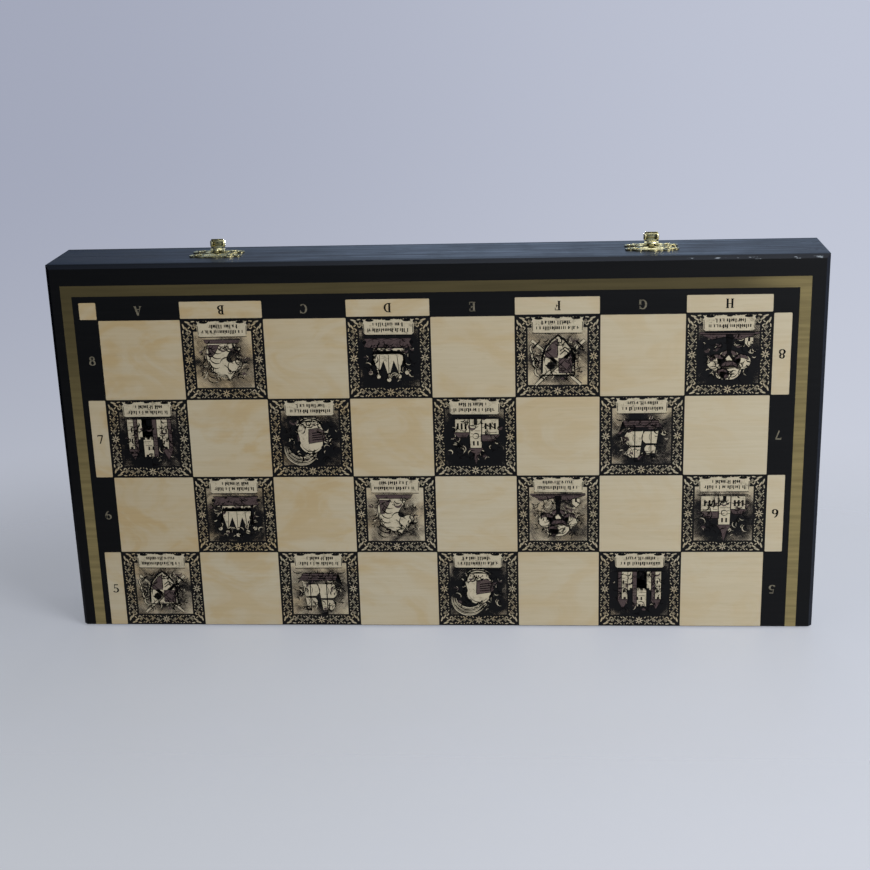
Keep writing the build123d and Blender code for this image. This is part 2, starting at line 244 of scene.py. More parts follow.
def in_edit_mode(piece, *steps, mode="FACE", everything=False):
    """Run edit-mode steps on a piece, on the faces selected before or on all of it."""
    make_active(piece)
    bpy.ops.object.mode_set(mode="EDIT")
    bpy.ops.mesh.select_mode(type=mode)
    if everything:
        bpy.ops.mesh.select_all(action="SELECT")
    for step in steps:
        step()
    bpy.ops.object.mode_set(mode="OBJECT")


def apply_place(piece):
    """Put a piece's place into its mesh, so that its object sits at the origin."""
    make_active(piece)
    bpy.ops.object.transform_apply(location=True, rotation=True, scale=True)


def placed(piece, place=(0, 0, 0), turn=(0, 0, 0)):
    """Turn a piece, set it in its place and put both into its mesh."""
    piece.rotation_euler = turn
    piece.location = place
    apply_place(piece)
    return piece


def apply_modifier(piece, kind, **settings):
    """Add a modifier and apply it."""
    make_active(piece)
    modifier = piece.modifiers.new(kind.title(), kind)
    for name, value in settings.items():
        setattr(modifier, name, value)
    bpy.ops.object.modifier_apply(modifier=modifier.name)


def cut(piece, cutter):
    """Cut one piece with another and throw the cutter away."""
    apply_modifier(piece, "BOOLEAN", operation="DIFFERENCE", object=cutter, solver="EXACT")
    bpy.data.objects.remove(cutter)


def soften(piece, width, segments=2, angle=35):
    """Round the sharp edges of a piece and smooth what lies between them."""
    apply_modifier(
        piece, "BEVEL", width=width, segments=segments, limit_method="ANGLE",
        angle_limit=math.radians(angle), harden_normals=False,
    )
    smooth(piece, angle)


def smooth(piece, angle=35):
    """Shade a piece smooth, apart from its sharp edges."""
    make_active(piece)
    bpy.ops.object.shade_smooth_by_angle(angle=math.radians(angle), keep_sharp_edges=False)


def tidy_mesh(piece):
    """Merge doubled points and turn every face outwards."""
    in_edit_mode(
        piece,
        lambda: bpy.ops.mesh.remove_doubles(threshold=MERGE),
        lambda: bpy.ops.mesh.normals_make_consistent(inside=False),
        mode="VERT",
        everything=True,
    )


def copied(piece, place=None):
    """A copy of a piece with its own mesh, moved by a matrix."""
    copy = piece.copy()
    copy.data = piece.data.copy()
    bpy.context.scene.collection.objects.link(copy)
    if place is not None:
        copy.data.transform(place)
    return copy


def joined(pieces, name):
    """Several pieces as one object."""
    make_active(pieces[0])
    for piece in pieces:
        piece.select_set(True)
    if len(pieces) > 1:
        bpy.ops.object.join()
    result = bpy.context.view_layer.objects.active
    result.name = name
    result.data.name = name
    return result


def fitted(piece, name, body, slot, finish, *nodes):
    """Name a finished piece, give it its finish and its body, and let it stand for its nodes."""
    apply_place(piece)
    piece.name = name
    piece.data.name = name
    piece.data.materials.clear()
    piece.data.materials.append(finish)
    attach(piece, body)
    if nodes:
        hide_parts(*nodes)
    return piece


def dress(node, finish):
    """Give a node of the frame its finish."""
    piece = frame["nodes"][node]
    piece.data.materials.clear()
    piece.data.materials.append(finish)


def solids_of(node):
    """The lowest and highest corner of each separate solid in a node of the frame, from left to right."""
    copy = copied(frame["nodes"][node])
    copy.parent = None
    copy.hide_viewport = False
    copy.data.materials.clear()
    tidy_mesh(copy)
    make_active(copy)
    bpy.ops.mesh.separate(type="LOOSE")
    boxes = []
    for part in list(bpy.context.selected_objects):
        corners = [Vector(point.co) for point in part.data.vertices]
        low = Vector([min(corner[axis] for corner in corners) for axis in range(3)])
        high = Vector([max(corner[axis] for corner in corners) for axis in range(3)])
        boxes.append((low, high))
        bpy.data.objects.remove(part)
    return sorted(boxes, key=lambda box: (round(box[0].x, 4), box[0].z))


# Shaders


class Value:
    """A number that varies over a surface. Python's operators add its Math nodes."""

    def __init__(self, paint, socket):
        self.paint = paint
        self.socket = socket

    def math(self, operation, *others):
        """A Math node on this value and others."""
        inputs = {0: self}
        inputs.update({place + 1: other for place, other in enumerate(others)})
        return self.paint.node("ShaderNodeMath", {"operation": operation}, inputs)

    def __add__(self, other):
        return self.math("ADD", other)

    __radd__ = __add__

    def __sub__(self, other):
        return self.math("SUBTRACT", other)

    def __rsub__(self, other):
        return self.math("MULTIPLY", -1.0).math("ADD", other)

    def __mul__(self, other):
        return self.math("MULTIPLY", other)

    __rmul__ = __mul__

    def __truediv__(self, other):
        return self.math("DIVIDE", other)

    def __abs__(self):
        return self.math("ABSOLUTE")

    def floor(self):
        return self.math("FLOOR")

    def above(self, other):
        """1 where this is greater."""
        return self.math("GREATER_THAN", other)

    def below(self, other):
        """1 where this is less."""
        return self.math("LESS_THAN", other)

    def at_least(self, other):
        return self.math("MAXIMUM", other)

    def at_most(self, other):
        return self.math("MINIMUM", other)

    def power(self, other):
        return self.math("POWER", other)

    def wave(self):
        return self.math("SINE")

    def ramp(self, low, high):
        """0 at low and 1 at high, eased at both ends."""
        return self.paint.node(
            "ShaderNodeMapRange",
            {"interpolation_type": "SMOOTHSTEP"},
            {"Value": self, "From Min": low, "From Max": high},
        )


class Paint:
    """One procedural material, or the world."""

    def __init__(self, name, group=None):
        self.material = (bpy.data.materials if group is None else group).new(name)
        self.material.use_nodes = True
        self.tree = self.material.node_tree
        self.tree.nodes.clear()

    def node(self, kind, settings=None, inputs=None, output=0):
        """Add a node: its settings first, then the values or links of its sockets."""
        node = self.tree.nodes.new(kind)
        for name, value in (settings or {}).items():
            setattr(node, name, value)
        for name, value in (inputs or {}).items():
            if isinstance(value, Value):
                self.tree.links.new(value.socket, node.inputs[name])
            else:
                node.inputs[name].default_value = value
        return Value(self, node.outputs[output])

    def place(self):
        """The point on the piece, in metres."""
        return self.node("ShaderNodeTexCoord", output="Object")

    def parts(self, place):
        """X, Y and Z of a place or a direction."""
        outputs = self.node("ShaderNodeSeparateXYZ", {}, {0: place}).socket.node.outputs
        return [Value(self, outputs[axis]) for axis in range(3)]

    def axes(self, place):
        """X, Y and Z of a place, in millimetres."""
        return [part * (1 / MM) for part in self.parts(place)]

    def stretched(self, place, scale):
        """A place with each axis scaled, for grain."""
        return self.node("ShaderNodeMapping", {}, {"Vector": place, "Scale": scale})

    def noise(self, place, scale, detail=2.0, roughness=0.5, distortion=0.0):
        """Soft uneven noise, 0 to 1."""
        inputs = {
            "Vector": place, "Scale": scale, "Detail": detail,
            "Roughness": roughness, "Distortion": distortion,
        }
        return self.node("ShaderNodeTexNoise", {}, inputs)

    def mix(self, share, first, second):
        """Two colours mixed: the second where the share is 1."""
        settings = {"data_type": "RGBA"}
        inputs = {0: share, 6: self.colour(first), 7: self.colour(second)}
        return self.node("ShaderNodeMix", settings, inputs, output=2)

    @staticmethod
    def colour(colour):
        """A colour as a socket takes it."""
        return colour if isinstance(colour, Value) else (*colour[:3], 1.0)

    def background(self, colour, strength):
        """A plain glow of the world."""
        return self.node("ShaderNodeBackground", {}, {"Color": self.colour(colour), "Strength": strength})

    def bump(self, height, strength, distance):
        """A surface made uneven by a height."""
        inputs = {"Height": height, "Strength": strength, "Distance": distance}
        return self.node("ShaderNodeBump", {}, inputs)

    def finish(self, colour, roughness, **others):
        """Close the material with its surface shader."""
        inputs = {"Base Color": self.colour(colour), "Roughness": roughness}
        inputs.update(others)
        return self.close(self.node("ShaderNodeBsdfPrincipled", {}, inputs))

    def close(self, surface, output="ShaderNodeOutputMaterial"):
        """Lead a surface to the output."""
        end = self.tree.nodes.new(output)
        self.tree.links.new(surface.socket, end.inputs["Surface"])
        return self.material


def shaded(colour, share):
    """A colour made darker or lighter."""
    return tuple(min(1.0, channel * share) for channel in colour)


def veneer_colour(paint, place, x):
    """Pale birch with warm clouds that thin towards +X and thicken towards -X as painted shade, short dark
    flecks, and its fine level grain.
    """
    clouds = paint.noise(paint.stretched(place, (1.0, 1.0, 1.8)), 26.0, 3.0, 0.55, 1.6).ramp(0.4, 0.66)
    broad = paint.noise(paint.stretched(place, (1.0, 1.0, 2.0)), 9.0, 2.0).ramp(0.35, 0.65)
    grain = paint.noise(paint.stretched(place, (22.0, 60.0, 560.0)), 1.0, 3.0, 0.6, 0.9)
    flecks = paint.noise(paint.stretched(place, (130.0, 300.0, 1500.0)), 1.0, 1.0).ramp(0.66, 0.74)
    # Painted shade: the warm clouds are laid on more thickly towards -X, darkening that side of each board
    warmth_and_painted_shade = (clouds * 0.55 + broad * 0.35) * (1.25 - x.ramp(-190.0, 190.0) * 0.75)
    base = paint.mix(warmth_and_painted_shade, colours().veneer, colours().veneer_warm)
    shade = grain.ramp(0.3, 0.7) * 0.13 + flecks * 0.1
    dark = shaded(colours().veneer_warm, 0.62)
    return paint.mix(shade, base, dark), grain


def rounded_box(across, along, half_across, half_along, radius):
    """Distance outside a rounded rectangle, from how far a point lies across and along."""
    beyond_across = (abs(across) - (half_across - radius)).at_least(0.0)
    beyond_along = (abs(along) - (half_along - radius)).at_least(0.0)
    return (beyond_across * beyond_across + beyond_along * beyond_along).power(0.5) - radius


# The print in millimetres: how softly its edges fade, how round its corners are, and between which
# places painted shade darkens the gold upwards and a painted highlight brightens it again to the right
PRINT_BLUR = 0.06
CELL_CORNER = 0.5
PICTURE_CORNER = 0.2
GOLD_PAINTED_SHADE = (40.0, 190.0)
GOLD_PAINTED_HIGHLIGHT = (150.0, 192.0)


def board_finish(half):
    """Veneer with the printed squares, the coordinate cells, the gold stripe and the black border."""
    print_sizes = sizes()
    square = print_sizes.square / MM
    line = print_sizes.line / MM
    paint = Paint(half + "_printed_veneer")
    place = paint.place()
    x, y, z = paint.axes(place)
    if half == "back":
        x = x * -1.0
    across = x - print_sizes.shift / MM
    height = z - HINGE_EDGE / MM
    column_place = across / square + COLUMNS / 2
    row_place = height / square
    column = column_place.floor()
    row = row_place.floor()
    light = (column + row).math("PINGPONG", 1.0).ramp(0.4, 0.6)
    grid_half = ROWS * square
    inner, outer = print_sizes.strip_inner / MM, print_sizes.strip_outer / MM
    strip_middle, strip_half = (inner + outer) / 2, (outer - inner) / 2
    beyond = abs(across)
    past_side = beyond.above(grid_half)
    past_top = height.above(grid_half)
    from_column = (column_place - column - 0.5) * square
    from_row = (row_place - row - 0.5) * square
    cell_across = from_column + past_side * (beyond - strip_middle - from_column)
    cell_along = from_row + past_top * (height - strip_middle - from_row)
    half_cell = square / 2 - line / 2
    half_across = past_side * (strip_half - half_cell) + half_cell
    half_along = past_top * (strip_half - half_cell) + half_cell
    cell = rounded_box(cell_across, cell_along, half_across, half_along, CELL_CORNER)
    face = abs(y).ramp(PRINT_FACE / MM - 0.02, PRINT_FACE / MM - 0.005)
    light_cell = light * (1.0 - cell.ramp(-PRINT_BLUR, PRINT_BLUR))
    in_grid = (1.0 - past_side) * (1.0 - past_top)
    picture_half = print_sizes.picture / MM
    picture_edge = rounded_box(from_column, from_row, picture_half, picture_half, PICTURE_CORNER)
    picture = (1.0 - light) * in_grid * (1.0 - picture_edge.ramp(-PRINT_BLUR, PRINT_BLUR))
    corner_low, corner_high = print_sizes.stripe_inner / MM, print_sizes.stripe_outer / MM
    from_middle = beyond.at_least(height)
    stripe = from_middle.ramp(corner_low - PRINT_BLUR, corner_low + PRINT_BLUR)
    stripe = stripe * (1.0 - from_middle.ramp(corner_high - PRINT_BLUR, corner_high + PRINT_BLUR))

    veneer, grain = veneer_colour(paint, place, x)
    engraving = picture_ground(paint, place, from_column, from_row, column, row, picture_half)
    printed = paint.mix(engraving, veneer, colours().sepia)
    printed = paint.mix(engraving.ramp(0.45, 0.95), printed, colours().ink)
    streaks = paint.noise(paint.stretched(place, (20.0, 60.0, 700.0)), 1.0, 2.0)
    ink = paint.mix(streaks.ramp(0.35, 0.8) * 0.5, colours().ink, colours().worn_ink)
    gold_streaks = paint.noise(paint.stretched(place, (25.0, 60.0, 500.0)), 1.0, 3.0)
    gold_dark = shaded(colours().gold, 0.72)
    gold = paint.mix(gold_streaks.ramp(0.3, 0.7), gold_dark, colours().gold)
    # Painted shade and highlight on the gold stripe: darker towards the top, lighter again towards the right
    gold_painted_shade = height.ramp(*GOLD_PAINTED_SHADE) * (1.0 - across.ramp(*GOLD_PAINTED_HIGHLIGHT) * 0.85) * 0.8
    gold = paint.mix(gold_painted_shade, gold, shaded(colours().gold, 0.16))
    wear = paint.noise(place, 900.0, 2.0).ramp(0.3, 0.6) * 0.35 + 0.6
    lace = scrollwork(from_column, from_row) * (1.0 - light) * in_grid * wear
    colour = paint.mix(light_cell, ink, veneer)
    colour = paint.mix(lace, colour, veneer)
    colour = paint.mix(picture, colour, printed)
    colour = paint.mix(stripe, colour, gold)

    stain, _ = stain_colour(paint, place, (6.0, 700.0, 700.0))
    chips = board_chips(paint, place, x, y, z)
    edge = paint.mix(chips, stain, colours().bare)
    colour = paint.mix(face, edge, colour)
    gloss = 0.5 - stripe * 0.08 + (1.0 - face) * -0.12 + grain.ramp(0.2, 0.8) * 0.06
    relief = grain * 0.6 + light_cell * -0.5 + streaks * 0.3
    bump = paint.bump(relief, 0.16, 0.0002)
    return paint.finish(colour, gloss, Normal=bump, **{"Specular IOR Level": 0.18})


def leaf(along, across, place, half_length, half_width, turn=0.0):
    """1 inside a small turned ellipse."""
    cosine, sine = math.cos(math.radians(turn)), math.sin(math.radians(turn))
    x, y = along - place[0], across - place[1]
    u = (x * cosine + y * sine) / half_length
    v = (y * cosine - x * sine) / half_width
    return 1.0 - (u * u + v * v).ramp(0.75, 1.25)


def curl(along, across, place, radius, width, side):
    """1 on an open ring; the side says which half of it is left open."""
    x, y = along - place[0], across - place[1]
    ring = abs((x * x + y * y).power(0.5) - radius)
    closed = (x * side + y).above(-0.15 * radius)
    return (1.0 - ring.ramp(width * 0.35, width * 0.65)) * closed


def scrollwork(from_column, from_row):
    """Pale vines, leaves and stars in the band round a dark square, the same in all its eighths."""
    out = abs(from_column).at_least(abs(from_row))
    along = abs(from_column).at_most(abs(from_row))
    centre, pitch, start, corner = 18.5, 3.2, 2.5, 15.3
    inner, outer = 15.75, 21.25
    step = ((along - start) / pitch).floor()
    cell = along - start - (step + 0.5) * pitch
    flip = step.math("PINGPONG", 1.0) * -2.0 + 1.0
    rise = (out - centre) * flip
    vine = abs(rise - (cell * (math.pi / pitch)).math("COSINE") * 1.3 + 0.2)
    parts = [
        1.0 - vine.ramp(0.08, 0.2),
        curl(cell, rise, (0.25, -0.35), 0.72, 0.28, 1.0),
        leaf(cell, rise, (0.25, -0.35), 0.22, 0.22),
        leaf(cell, rise, (0.95, 1.75), 0.72, 0.22, 38.0),
        leaf(cell, rise, (-0.75, 2.05), 0.5, 0.2, -30.0),
        leaf(cell, rise, (-0.9, -1.75), 0.6, 0.22, -42.0),
        leaf(cell, rise, (0.75, -2.15), 0.28, 0.24),
    ]
    pattern = parts[0]
    for part in parts[1:]:
        pattern = pattern.at_least(part)
    pattern = pattern * along.above(start) * along.below(corner)
    radius = (along * along + (out - centre) * (out - centre)).power(0.5)
    turn = (out - centre).math("ARCTAN2", along + 0.0001)
    petals = (turn * 8.0).math("COSINE") * 0.85 + 1.35
    star = (1.0 - (radius - petals).ramp(-0.12, 0.12)) * radius.ramp(0.42, 0.6)
    fan = [
        leaf(out, along, (20.2, 18.0), 1.5, 0.42, 72.0),
        leaf(out, along, (18.75, 16.6), 1.45, 0.4, 58.0),
        leaf(out, along, (20.6, 15.2), 0.9, 0.3, 100.0),
        leaf(out, along, (17.0, 15.5), 0.75, 0.3, 35.0),
        leaf(out, along, (17.6, 17.1), 0.36, 0.32),
    ]
    for part in (star, *fan):
        pattern = pattern.at_least(part)
    return pattern * out.below(outer) * out.above(inner)


def picture_ground(paint, place, from_column, from_row, column, row, half):
    """How dark the engraved ground of each picture is: a smoky patch that thins towards its edges."""
    across = from_column / half
    up = from_row / half
    seed = paint.node(
        "ShaderNodeCombineXYZ", {}, {"X": column * 3.7 + 0.5, "Y": row * 5.3 + 0.5, "Z": column - row}
    )
    spot = paint.node("ShaderNodeVectorMath", {"operation": "ADD"}, {0: place, 1: seed})
    smoke = paint.noise(spot, 75.0, 4.0, 0.6, 0.8)
    fine = paint.noise(paint.stretched(spot, (1.0, 1.0, 2.2)), 520.0, 2.0, 0.6, 1.5)
    level = paint.node("ShaderNodeTexWhiteNoise", {"noise_dimensions": "3D"}, {"Vector": seed})
    reach = across * across + (up + 0.15) * (up + 0.15)
    density = smoke * 1.7 + level * 0.7 - reach * 0.3 - 0.16
    phase = (from_column + from_row) * 8.0 + smoke * 22.0
    cross = (from_column - from_row) * 7.0 + smoke * 15.0
    hatch = phase.wave() * 0.22 + cross.wave() * 0.1
    return (density + (fine - 0.5) * 0.5 + hatch).ramp(0.12, 0.78)


def stain_colour(paint, place, grain_scale):
    """Black stain that lies a little unevenly along the grain, and that grain."""
    grain = paint.noise(paint.stretched(place, grain_scale), 1.0, 4.0, 0.6, 0.4)
    dark = shaded(colours().stain, 0.3)
    pale = shaded(colours().stain, 2.6)
    stain = paint.mix(grain.ramp(0.3, 0.6), dark, colours().stain)
    return paint.mix(grain.ramp(0.6, 0.8) * 0.6, stain, pale), grain


def board_chips(paint, place, x, y, z):
    """Where the stain is chipped off the eased edge, most of all near the top right corner."""
    spots = paint.noise(paint.stretched(place, (1.0, 3.0, 3.0)), 150.0, 3.0, 0.6)
    top, face = BOARD_HIGH.z / MM, PRINT_FACE / MM
    near_corner = x.ramp(60.0, 190.0) * z.ramp(top - 3.0, top - 2.0)
    on_edge = abs(y).ramp(face - 1.15, face - 0.75)
    needed = 0.76 - near_corner * 0.21
    return (spots - needed).ramp(0.0, 0.05) * on_edge * 0.8


# How fast a rail's grain changes along the wood and across it
ALONG_GRAIN, ACROSS_GRAIN = 18.0, 420.0


def rail_finish(name, grain_scale):
    """Black-stained rail with open grain and a satin varnish."""
    paint = Paint(name)
    place = paint.place()
    stain, grain = stain_colour(paint, place, grain_scale)
    wear = paint.noise(place, 60.0, 4.0, 0.65)
    worn = paint.mix(wear.ramp(0.66, 0.8) * 0.25, stain, colours().bare)
    gloss = 0.3 + grain.ramp(0.3, 0.7) * 0.26 + wear.ramp(0.4, 0.7) * 0.08
    bump = paint.bump(grain, 0.35, 0.0003)
    return paint.finish(worn, gloss, Normal=bump, **{"Specular IOR Level": 0.75})


# How near a wall must be for tarnish and painted shade to gather in a hollow
HOLLOW_REACH = 1.6 * MM


def brass_finish(name, base, roughness):
    """Brass with a thin uneven tarnish and fine rubbing marks, its hollows darkened by tarnish and painted
    shade.
    """
    paint = Paint(name)
    place = paint.place()
    patches = paint.noise(place, 420.0, 4.0, 0.65)
    specks = paint.noise(place, 2600.0, 2.0)
    inputs = {"Distance": HOLLOW_REACH}
    open_air = paint.node("ShaderNodeAmbientOcclusion", {"samples": 6}, inputs, output=1)
    hollow = 1.0 - open_air.ramp(0.25, 0.95)
    tarnish = patches.ramp(0.5, 0.7) * 0.4 + specks.ramp(0.6, 0.75) * 0.2 + hollow
    colour = paint.mix(tarnish.at_most(1.0), base, colours().tarnish)
    # Painted shade: hollows are darkened further, towards a near-black tarnish, as if in shadow
    colour = paint.mix(hollow * 0.55, colour, shaded(colours().tarnish, 0.3))
    gloss = roughness + patches.ramp(0.4, 0.7) * 0.2
    bump = paint.bump(specks, 0.12, 0.00005)
    return paint.finish(colour, gloss, Metallic=1.0, Normal=bump)


def flock_finish(name, base, depth):
    """Short upright fibres: soft, matt and slightly blotched."""
    paint = Paint(name)
    place = paint.place()
    nap = paint.noise(place, 90.0, 3.0, 0.6)
    fibres = paint.noise(place, 5200.0, 2.0, 0.7)
    dark = shaded(base, 0.55)
    pale = shaded(base, 1.5)
    colour = paint.mix(nap.ramp(0.35, 0.7), dark, base)
    colour = paint.mix(fibres.ramp(0.45, 0.75) * 0.6, colour, pale)
    bump = paint.bump(fibres + nap * 0.4, 0.6, depth)
    inputs = {"Normal": bump, "Sheen Weight": 0.35, "Sheen Roughness": 0.5}
    return paint.finish(colour, 0.95, **inputs)


def men_finish(name, base, contrast):
    """Turned wood under lacquer, its grain running up each man."""
    paint = Paint(name)
    place = paint.place()
    rings = paint.noise(paint.stretched(place, (260.0, 260.0, 22.0)), 1.0, 3.0, 0.55, 0.8)
    pores = paint.noise(paint.stretched(place, (1500.0, 1500.0, 90.0)), 1.0, 2.0)
    dark = shaded(base, 1.0 - contrast)
    colour = paint.mix(rings.ramp(0.35, 0.68), base, dark)
    colour = paint.mix(pores.ramp(0.62, 0.75) * 0.35, colour, shaded(base, 0.4))
    gloss = 0.3 + rings.ramp(0.3, 0.7) * 0.1
    bump = paint.bump(pores, 0.1, 0.0001)
    inputs = {"Normal": bump, "Coat Weight": 0.3, "Coat Roughness": 0.25}
    return paint.finish(colour, gloss, **inputs)


def ink_finish(name, colour, spread):
    """One tone of the print, a little uneven as ink on wood is."""
    paint = Paint(name)
    place = paint.place()
    grain = paint.noise(paint.stretched(place, (40.0, 60.0, 900.0)), 1.0, 2.0)
    speckle = paint.noise(place, 1800.0, 2.0)
    dark = shaded(colour, 1.0 - spread)
    mixed = paint.mix(grain.ramp(0.35, 0.7) * 0.7 + speckle.ramp(0.5, 0.8) * 0.3, colour, dark)
    return paint.finish(mixed, 0.5, **{"Specular IOR Level": 0.1})


def engraved_finish(name, colour, gaps):
    """A printed tone broken up as an engraving is: hatching, blots and bare spots."""
    paint = Paint(name)
    place = paint.place()
    x, _, z = paint.axes(place)
    blots = paint.noise(place, 260.0, 4.0, 0.65)
    fine = paint.noise(paint.stretched(place, (1.0, 1.0, 1.6)), 900.0, 2.0, 0.6, 1.0)
    hatch = ((x + z) * 8.5 + blots * 4.0).wave() * 0.5 + ((x - z) * 7.5).wave() * 0.3
    shade = (blots - 0.5) * 1.6 + hatch * 0.22 + (fine - 0.5) * 1.2
    dark = shaded(colours().sepia, 0.2)
    mixed = paint.mix(shade.ramp(0.0, 0.65) * 0.85, colour, dark)
    solid = 1.0 - (shade + hatch * 0.4).ramp(0.3, 0.5) * gaps * 2.0
    return paint.finish(mixed, 0.5, Alpha=solid, **{"Specular IOR Level": 0.1})


# Stage


CAMERA_PLACE = Vector((0.05915, -0.76674, 0.35546))
CAMERA_TARGET = Vector((-0.0002, -0.0225, 0.11147))
CAMERA_ROLL = math.radians(-1.79)
CAMERA_LENS = 61.85
SENSOR_WIDTH = 36.0
CAMERA_SHIFT = -0.00115
LAMPS = (
    ("key_lamp", (0.95, -0.78, 0.62), 0.6, 18.4),
    ("top_lamp", (0.3, -0.1, 1.6), 1.2, 9.0),
    ("fill_lamp", (-1.2, -1.6, 0.8), 1.4, 0.8),
    ("rear_lamp", (0.06, 1.3, 0.1), 0.2, 8.0),
)
LAMP_TARGET = Vector((0, 0, 0.1))
LIGHT_STRENGTH = 0.14
FLOOR_SIZE = 1.4
FLOOR_DROP = 0.0001
FLOOR_CLEAR = 0.05
FLOOR_GONE = 0.3
FLOOR_VEIL = 0.5

# Where the backdrop and the mirrored room change, as shares of a direction
BACKDROP_TURN = (-0.42, 0.28)
BACKDROP_DROP = (0.1, 0.5)
WINDOW_LEFT = (-0.34, 0.0)
WINDOW_RIGHT = (0.03, 0.2)
WINDOW_FALL = 0.5
ROOM_TURN = (-0.05, 0.25)
ROOM_LEVEL = (-0.05, 0.05)


def look_at(place, target, roll=0.0):
    """The turn that points an object's -Z from a place to a target."""
    return (target - place).to_track_quat("-Z", "Y") @ Quaternion((0, 0, 1), roll)


def add_camera():
    """The camera at the photograph's place and angle."""
    bpy.ops.object.camera_add(location=CAMERA_PLACE)
    camera = bpy.context.object
    camera.name = "photo_camera"
    camera.rotation_mode = "QUATERNION"
    camera.rotation_quaternion = look_at(CAMERA_PLACE, CAMERA_TARGET, CAMERA_ROLL)
    camera.data.lens = CAMERA_LENS
    camera.data.sensor_width = SENSOR_WIDTH
    camera.data.shift_y = CAMERA_SHIFT
    bpy.context.scene.camera = camera


def add_lamps():
    """Four soft square lamps that face the case."""
    for name, place, size, power in LAMPS:
        bpy.ops.object.light_add(type="AREA", location=place)
        lamp = bpy.context.object
        lamp.name = name
        lamp.data.name = name
        lamp.data.size = size
        lamp.data.energy = power
        lamp.rotation_mode = "QUATERNION"
        lamp.rotation_quaternion = look_at(Vector(place), LAMP_TARGET)


def floor_finish():
    """Pale glossy table top that fades into the backdrop away from the case."""
    paint = Paint("pale_floor")
    place = paint.place()
    x, y, _ = paint.axes(place)
    beyond_x = (abs(x) - CAD_HIGH[0] / MM).at_least(0.0)
    beyond_y = (abs(y) - CAD_HIGH[1] / MM).at_least(0.0)
    distance = (beyond_x * beyond_x + beyond_y * beyond_y).power(0.5)
    solid = (1.0 - distance.ramp(FLOOR_CLEAR / MM, FLOOR_GONE / MM)) * FLOOR_VEIL
    haze = paint.noise(place, 12.0, 3.0)
    colour = paint.mix(haze.ramp(0.3, 0.7) * 0.2, colours().table_dark, colours().backdrop_light)
    gloss = 0.36 + haze.ramp(0.3, 0.7) * 0.08
    return paint.finish(colour, gloss, Alpha=solid)


def add_floor():
    """The table top just below the case."""
    bpy.ops.mesh.primitive_plane_add(size=FLOOR_SIZE, location=(0, 0, -FLOOR_DROP))
    floor = bpy.context.object
    apply_place(floor)
    floor.name = "floor"
    floor.data.materials.append(floor_finish())


def add_backdrop():
    """A pale backdrop that only the camera, gloss and glass see, and a plain soft light for the rest."""
    paint = Paint("studio", bpy.data.worlds)
    bpy.context.scene.world = paint.material
    direction = paint.node("ShaderNodeTexCoord", output="Generated")
    x, _, z = paint.parts(direction)
    share = x.ramp(*BACKDROP_TURN)
    upper = paint.mix(share, colours().backdrop_dark, colours().backdrop_light)
    lower = paint.mix(share, colours().table_dark, colours().table_light)
    seen = paint.background(paint.mix((z * -1.0).ramp(*BACKDROP_DROP), upper, lower), 1.0)
    window = x.ramp(*WINDOW_LEFT) * (1.0 - x.ramp(*WINDOW_RIGHT) * WINDOW_FALL)
    above = paint.mix(window, colours().room_dark, colours().room_light)
    below = paint.mix(x.ramp(*ROOM_TURN), colours().room_low, colours().room_side)
    mirrored = paint.background(paint.mix(z.ramp(*ROOM_LEVEL), below, above), 1.0)
    light = paint.background(colours().plain_light, LIGHT_STRENGTH)
    path = paint.node("ShaderNodeLightPath")
    outputs = path.socket.node.outputs
    camera, glossy, glass = [
        Value(paint, outputs[name]) for name in ("Is Camera Ray", "Is Glossy Ray", "Is Transmission Ray")
    ]
    mixed = paint.node("ShaderNodeMixShader", {}, {0: glossy, 1: light, 2: mirrored})
    mixed = paint.node("ShaderNodeMixShader", {}, {0: camera.at_least(glass), 1: mixed, 2: seen})
    paint.close(mixed, "ShaderNodeOutputWorld")


# Men


def arc(centre_radius, centre_height, radius, start, end, steps=6):
    """Points on an arc of a turned profile, angles in degrees from outwards, up being positive."""
    points = []
    for step in range(steps + 1):
        angle = math.radians(start + (end - start) * step / steps)
        points.append((centre_radius + radius * math.cos(angle), centre_height + radius * math.sin(angle)))
    return points


def sweep_in(low, high, bend, steps=8):
    """Points of a hollow curve between two points of a profile; bend is how soon it narrows."""
    points = []
    for step in range(1, steps + 1):
        share = step / steps
        radius = high[0] + (low[0] - high[0]) * (1 - share) ** bend
        points.append((radius, low[1] + (high[1] - low[1]) * share))
    return points


def foot(radius):
    """The plinth, the torus and the step that every man stands on."""
    bead = radius * 0.13
    return [
        (0, 0),
        (radius * 0.96, 0),
        (radius, radius * 0.03),
        (radius, radius * 0.17),
        (radius * 0.955, radius * 0.2),
        *arc(radius * 0.84, radius * 0.2 + bead, bead, -70, 80),
        (radius * 0.8, radius * 0.47),
        (radius * 0.74, radius * 0.49),
    ]


def collar(radius, height, rise):
    """A thin turned collar: a sharp disc over a smaller bead."""
    return [
        (radius * 0.66, height - rise * 0.9),
        *arc(radius * 0.7, height - rise * 0.45, rise * 0.42, -60, 60, 3),
        (radius * 0.7, height - rise * 0.05),
        (radius * 0.98, height + rise * 0.1),
        (radius, height + rise * 0.3),
        (radius * 0.8, height + rise * 0.55),
        (radius * 0.58, height + rise * 0.7),
    ]


def pawn_profile(radius, height):
    """A ball over a collar and a hollow stem."""
    ball = radius * 0.57
    centre = height - ball
    neck = centre - ball * 0.98
    stem_top = (radius * 0.34, neck - radius * 0.14)
    shoulder = collar(radius * 0.62, neck, radius * 0.15)
    head = arc(0, centre, ball, -62, 90, 12)
    head[-1] = (0, height)
    return foot(radius) + sweep_in((radius * 0.7, radius * 0.5), stem_top, 2.4) + shoulder + head


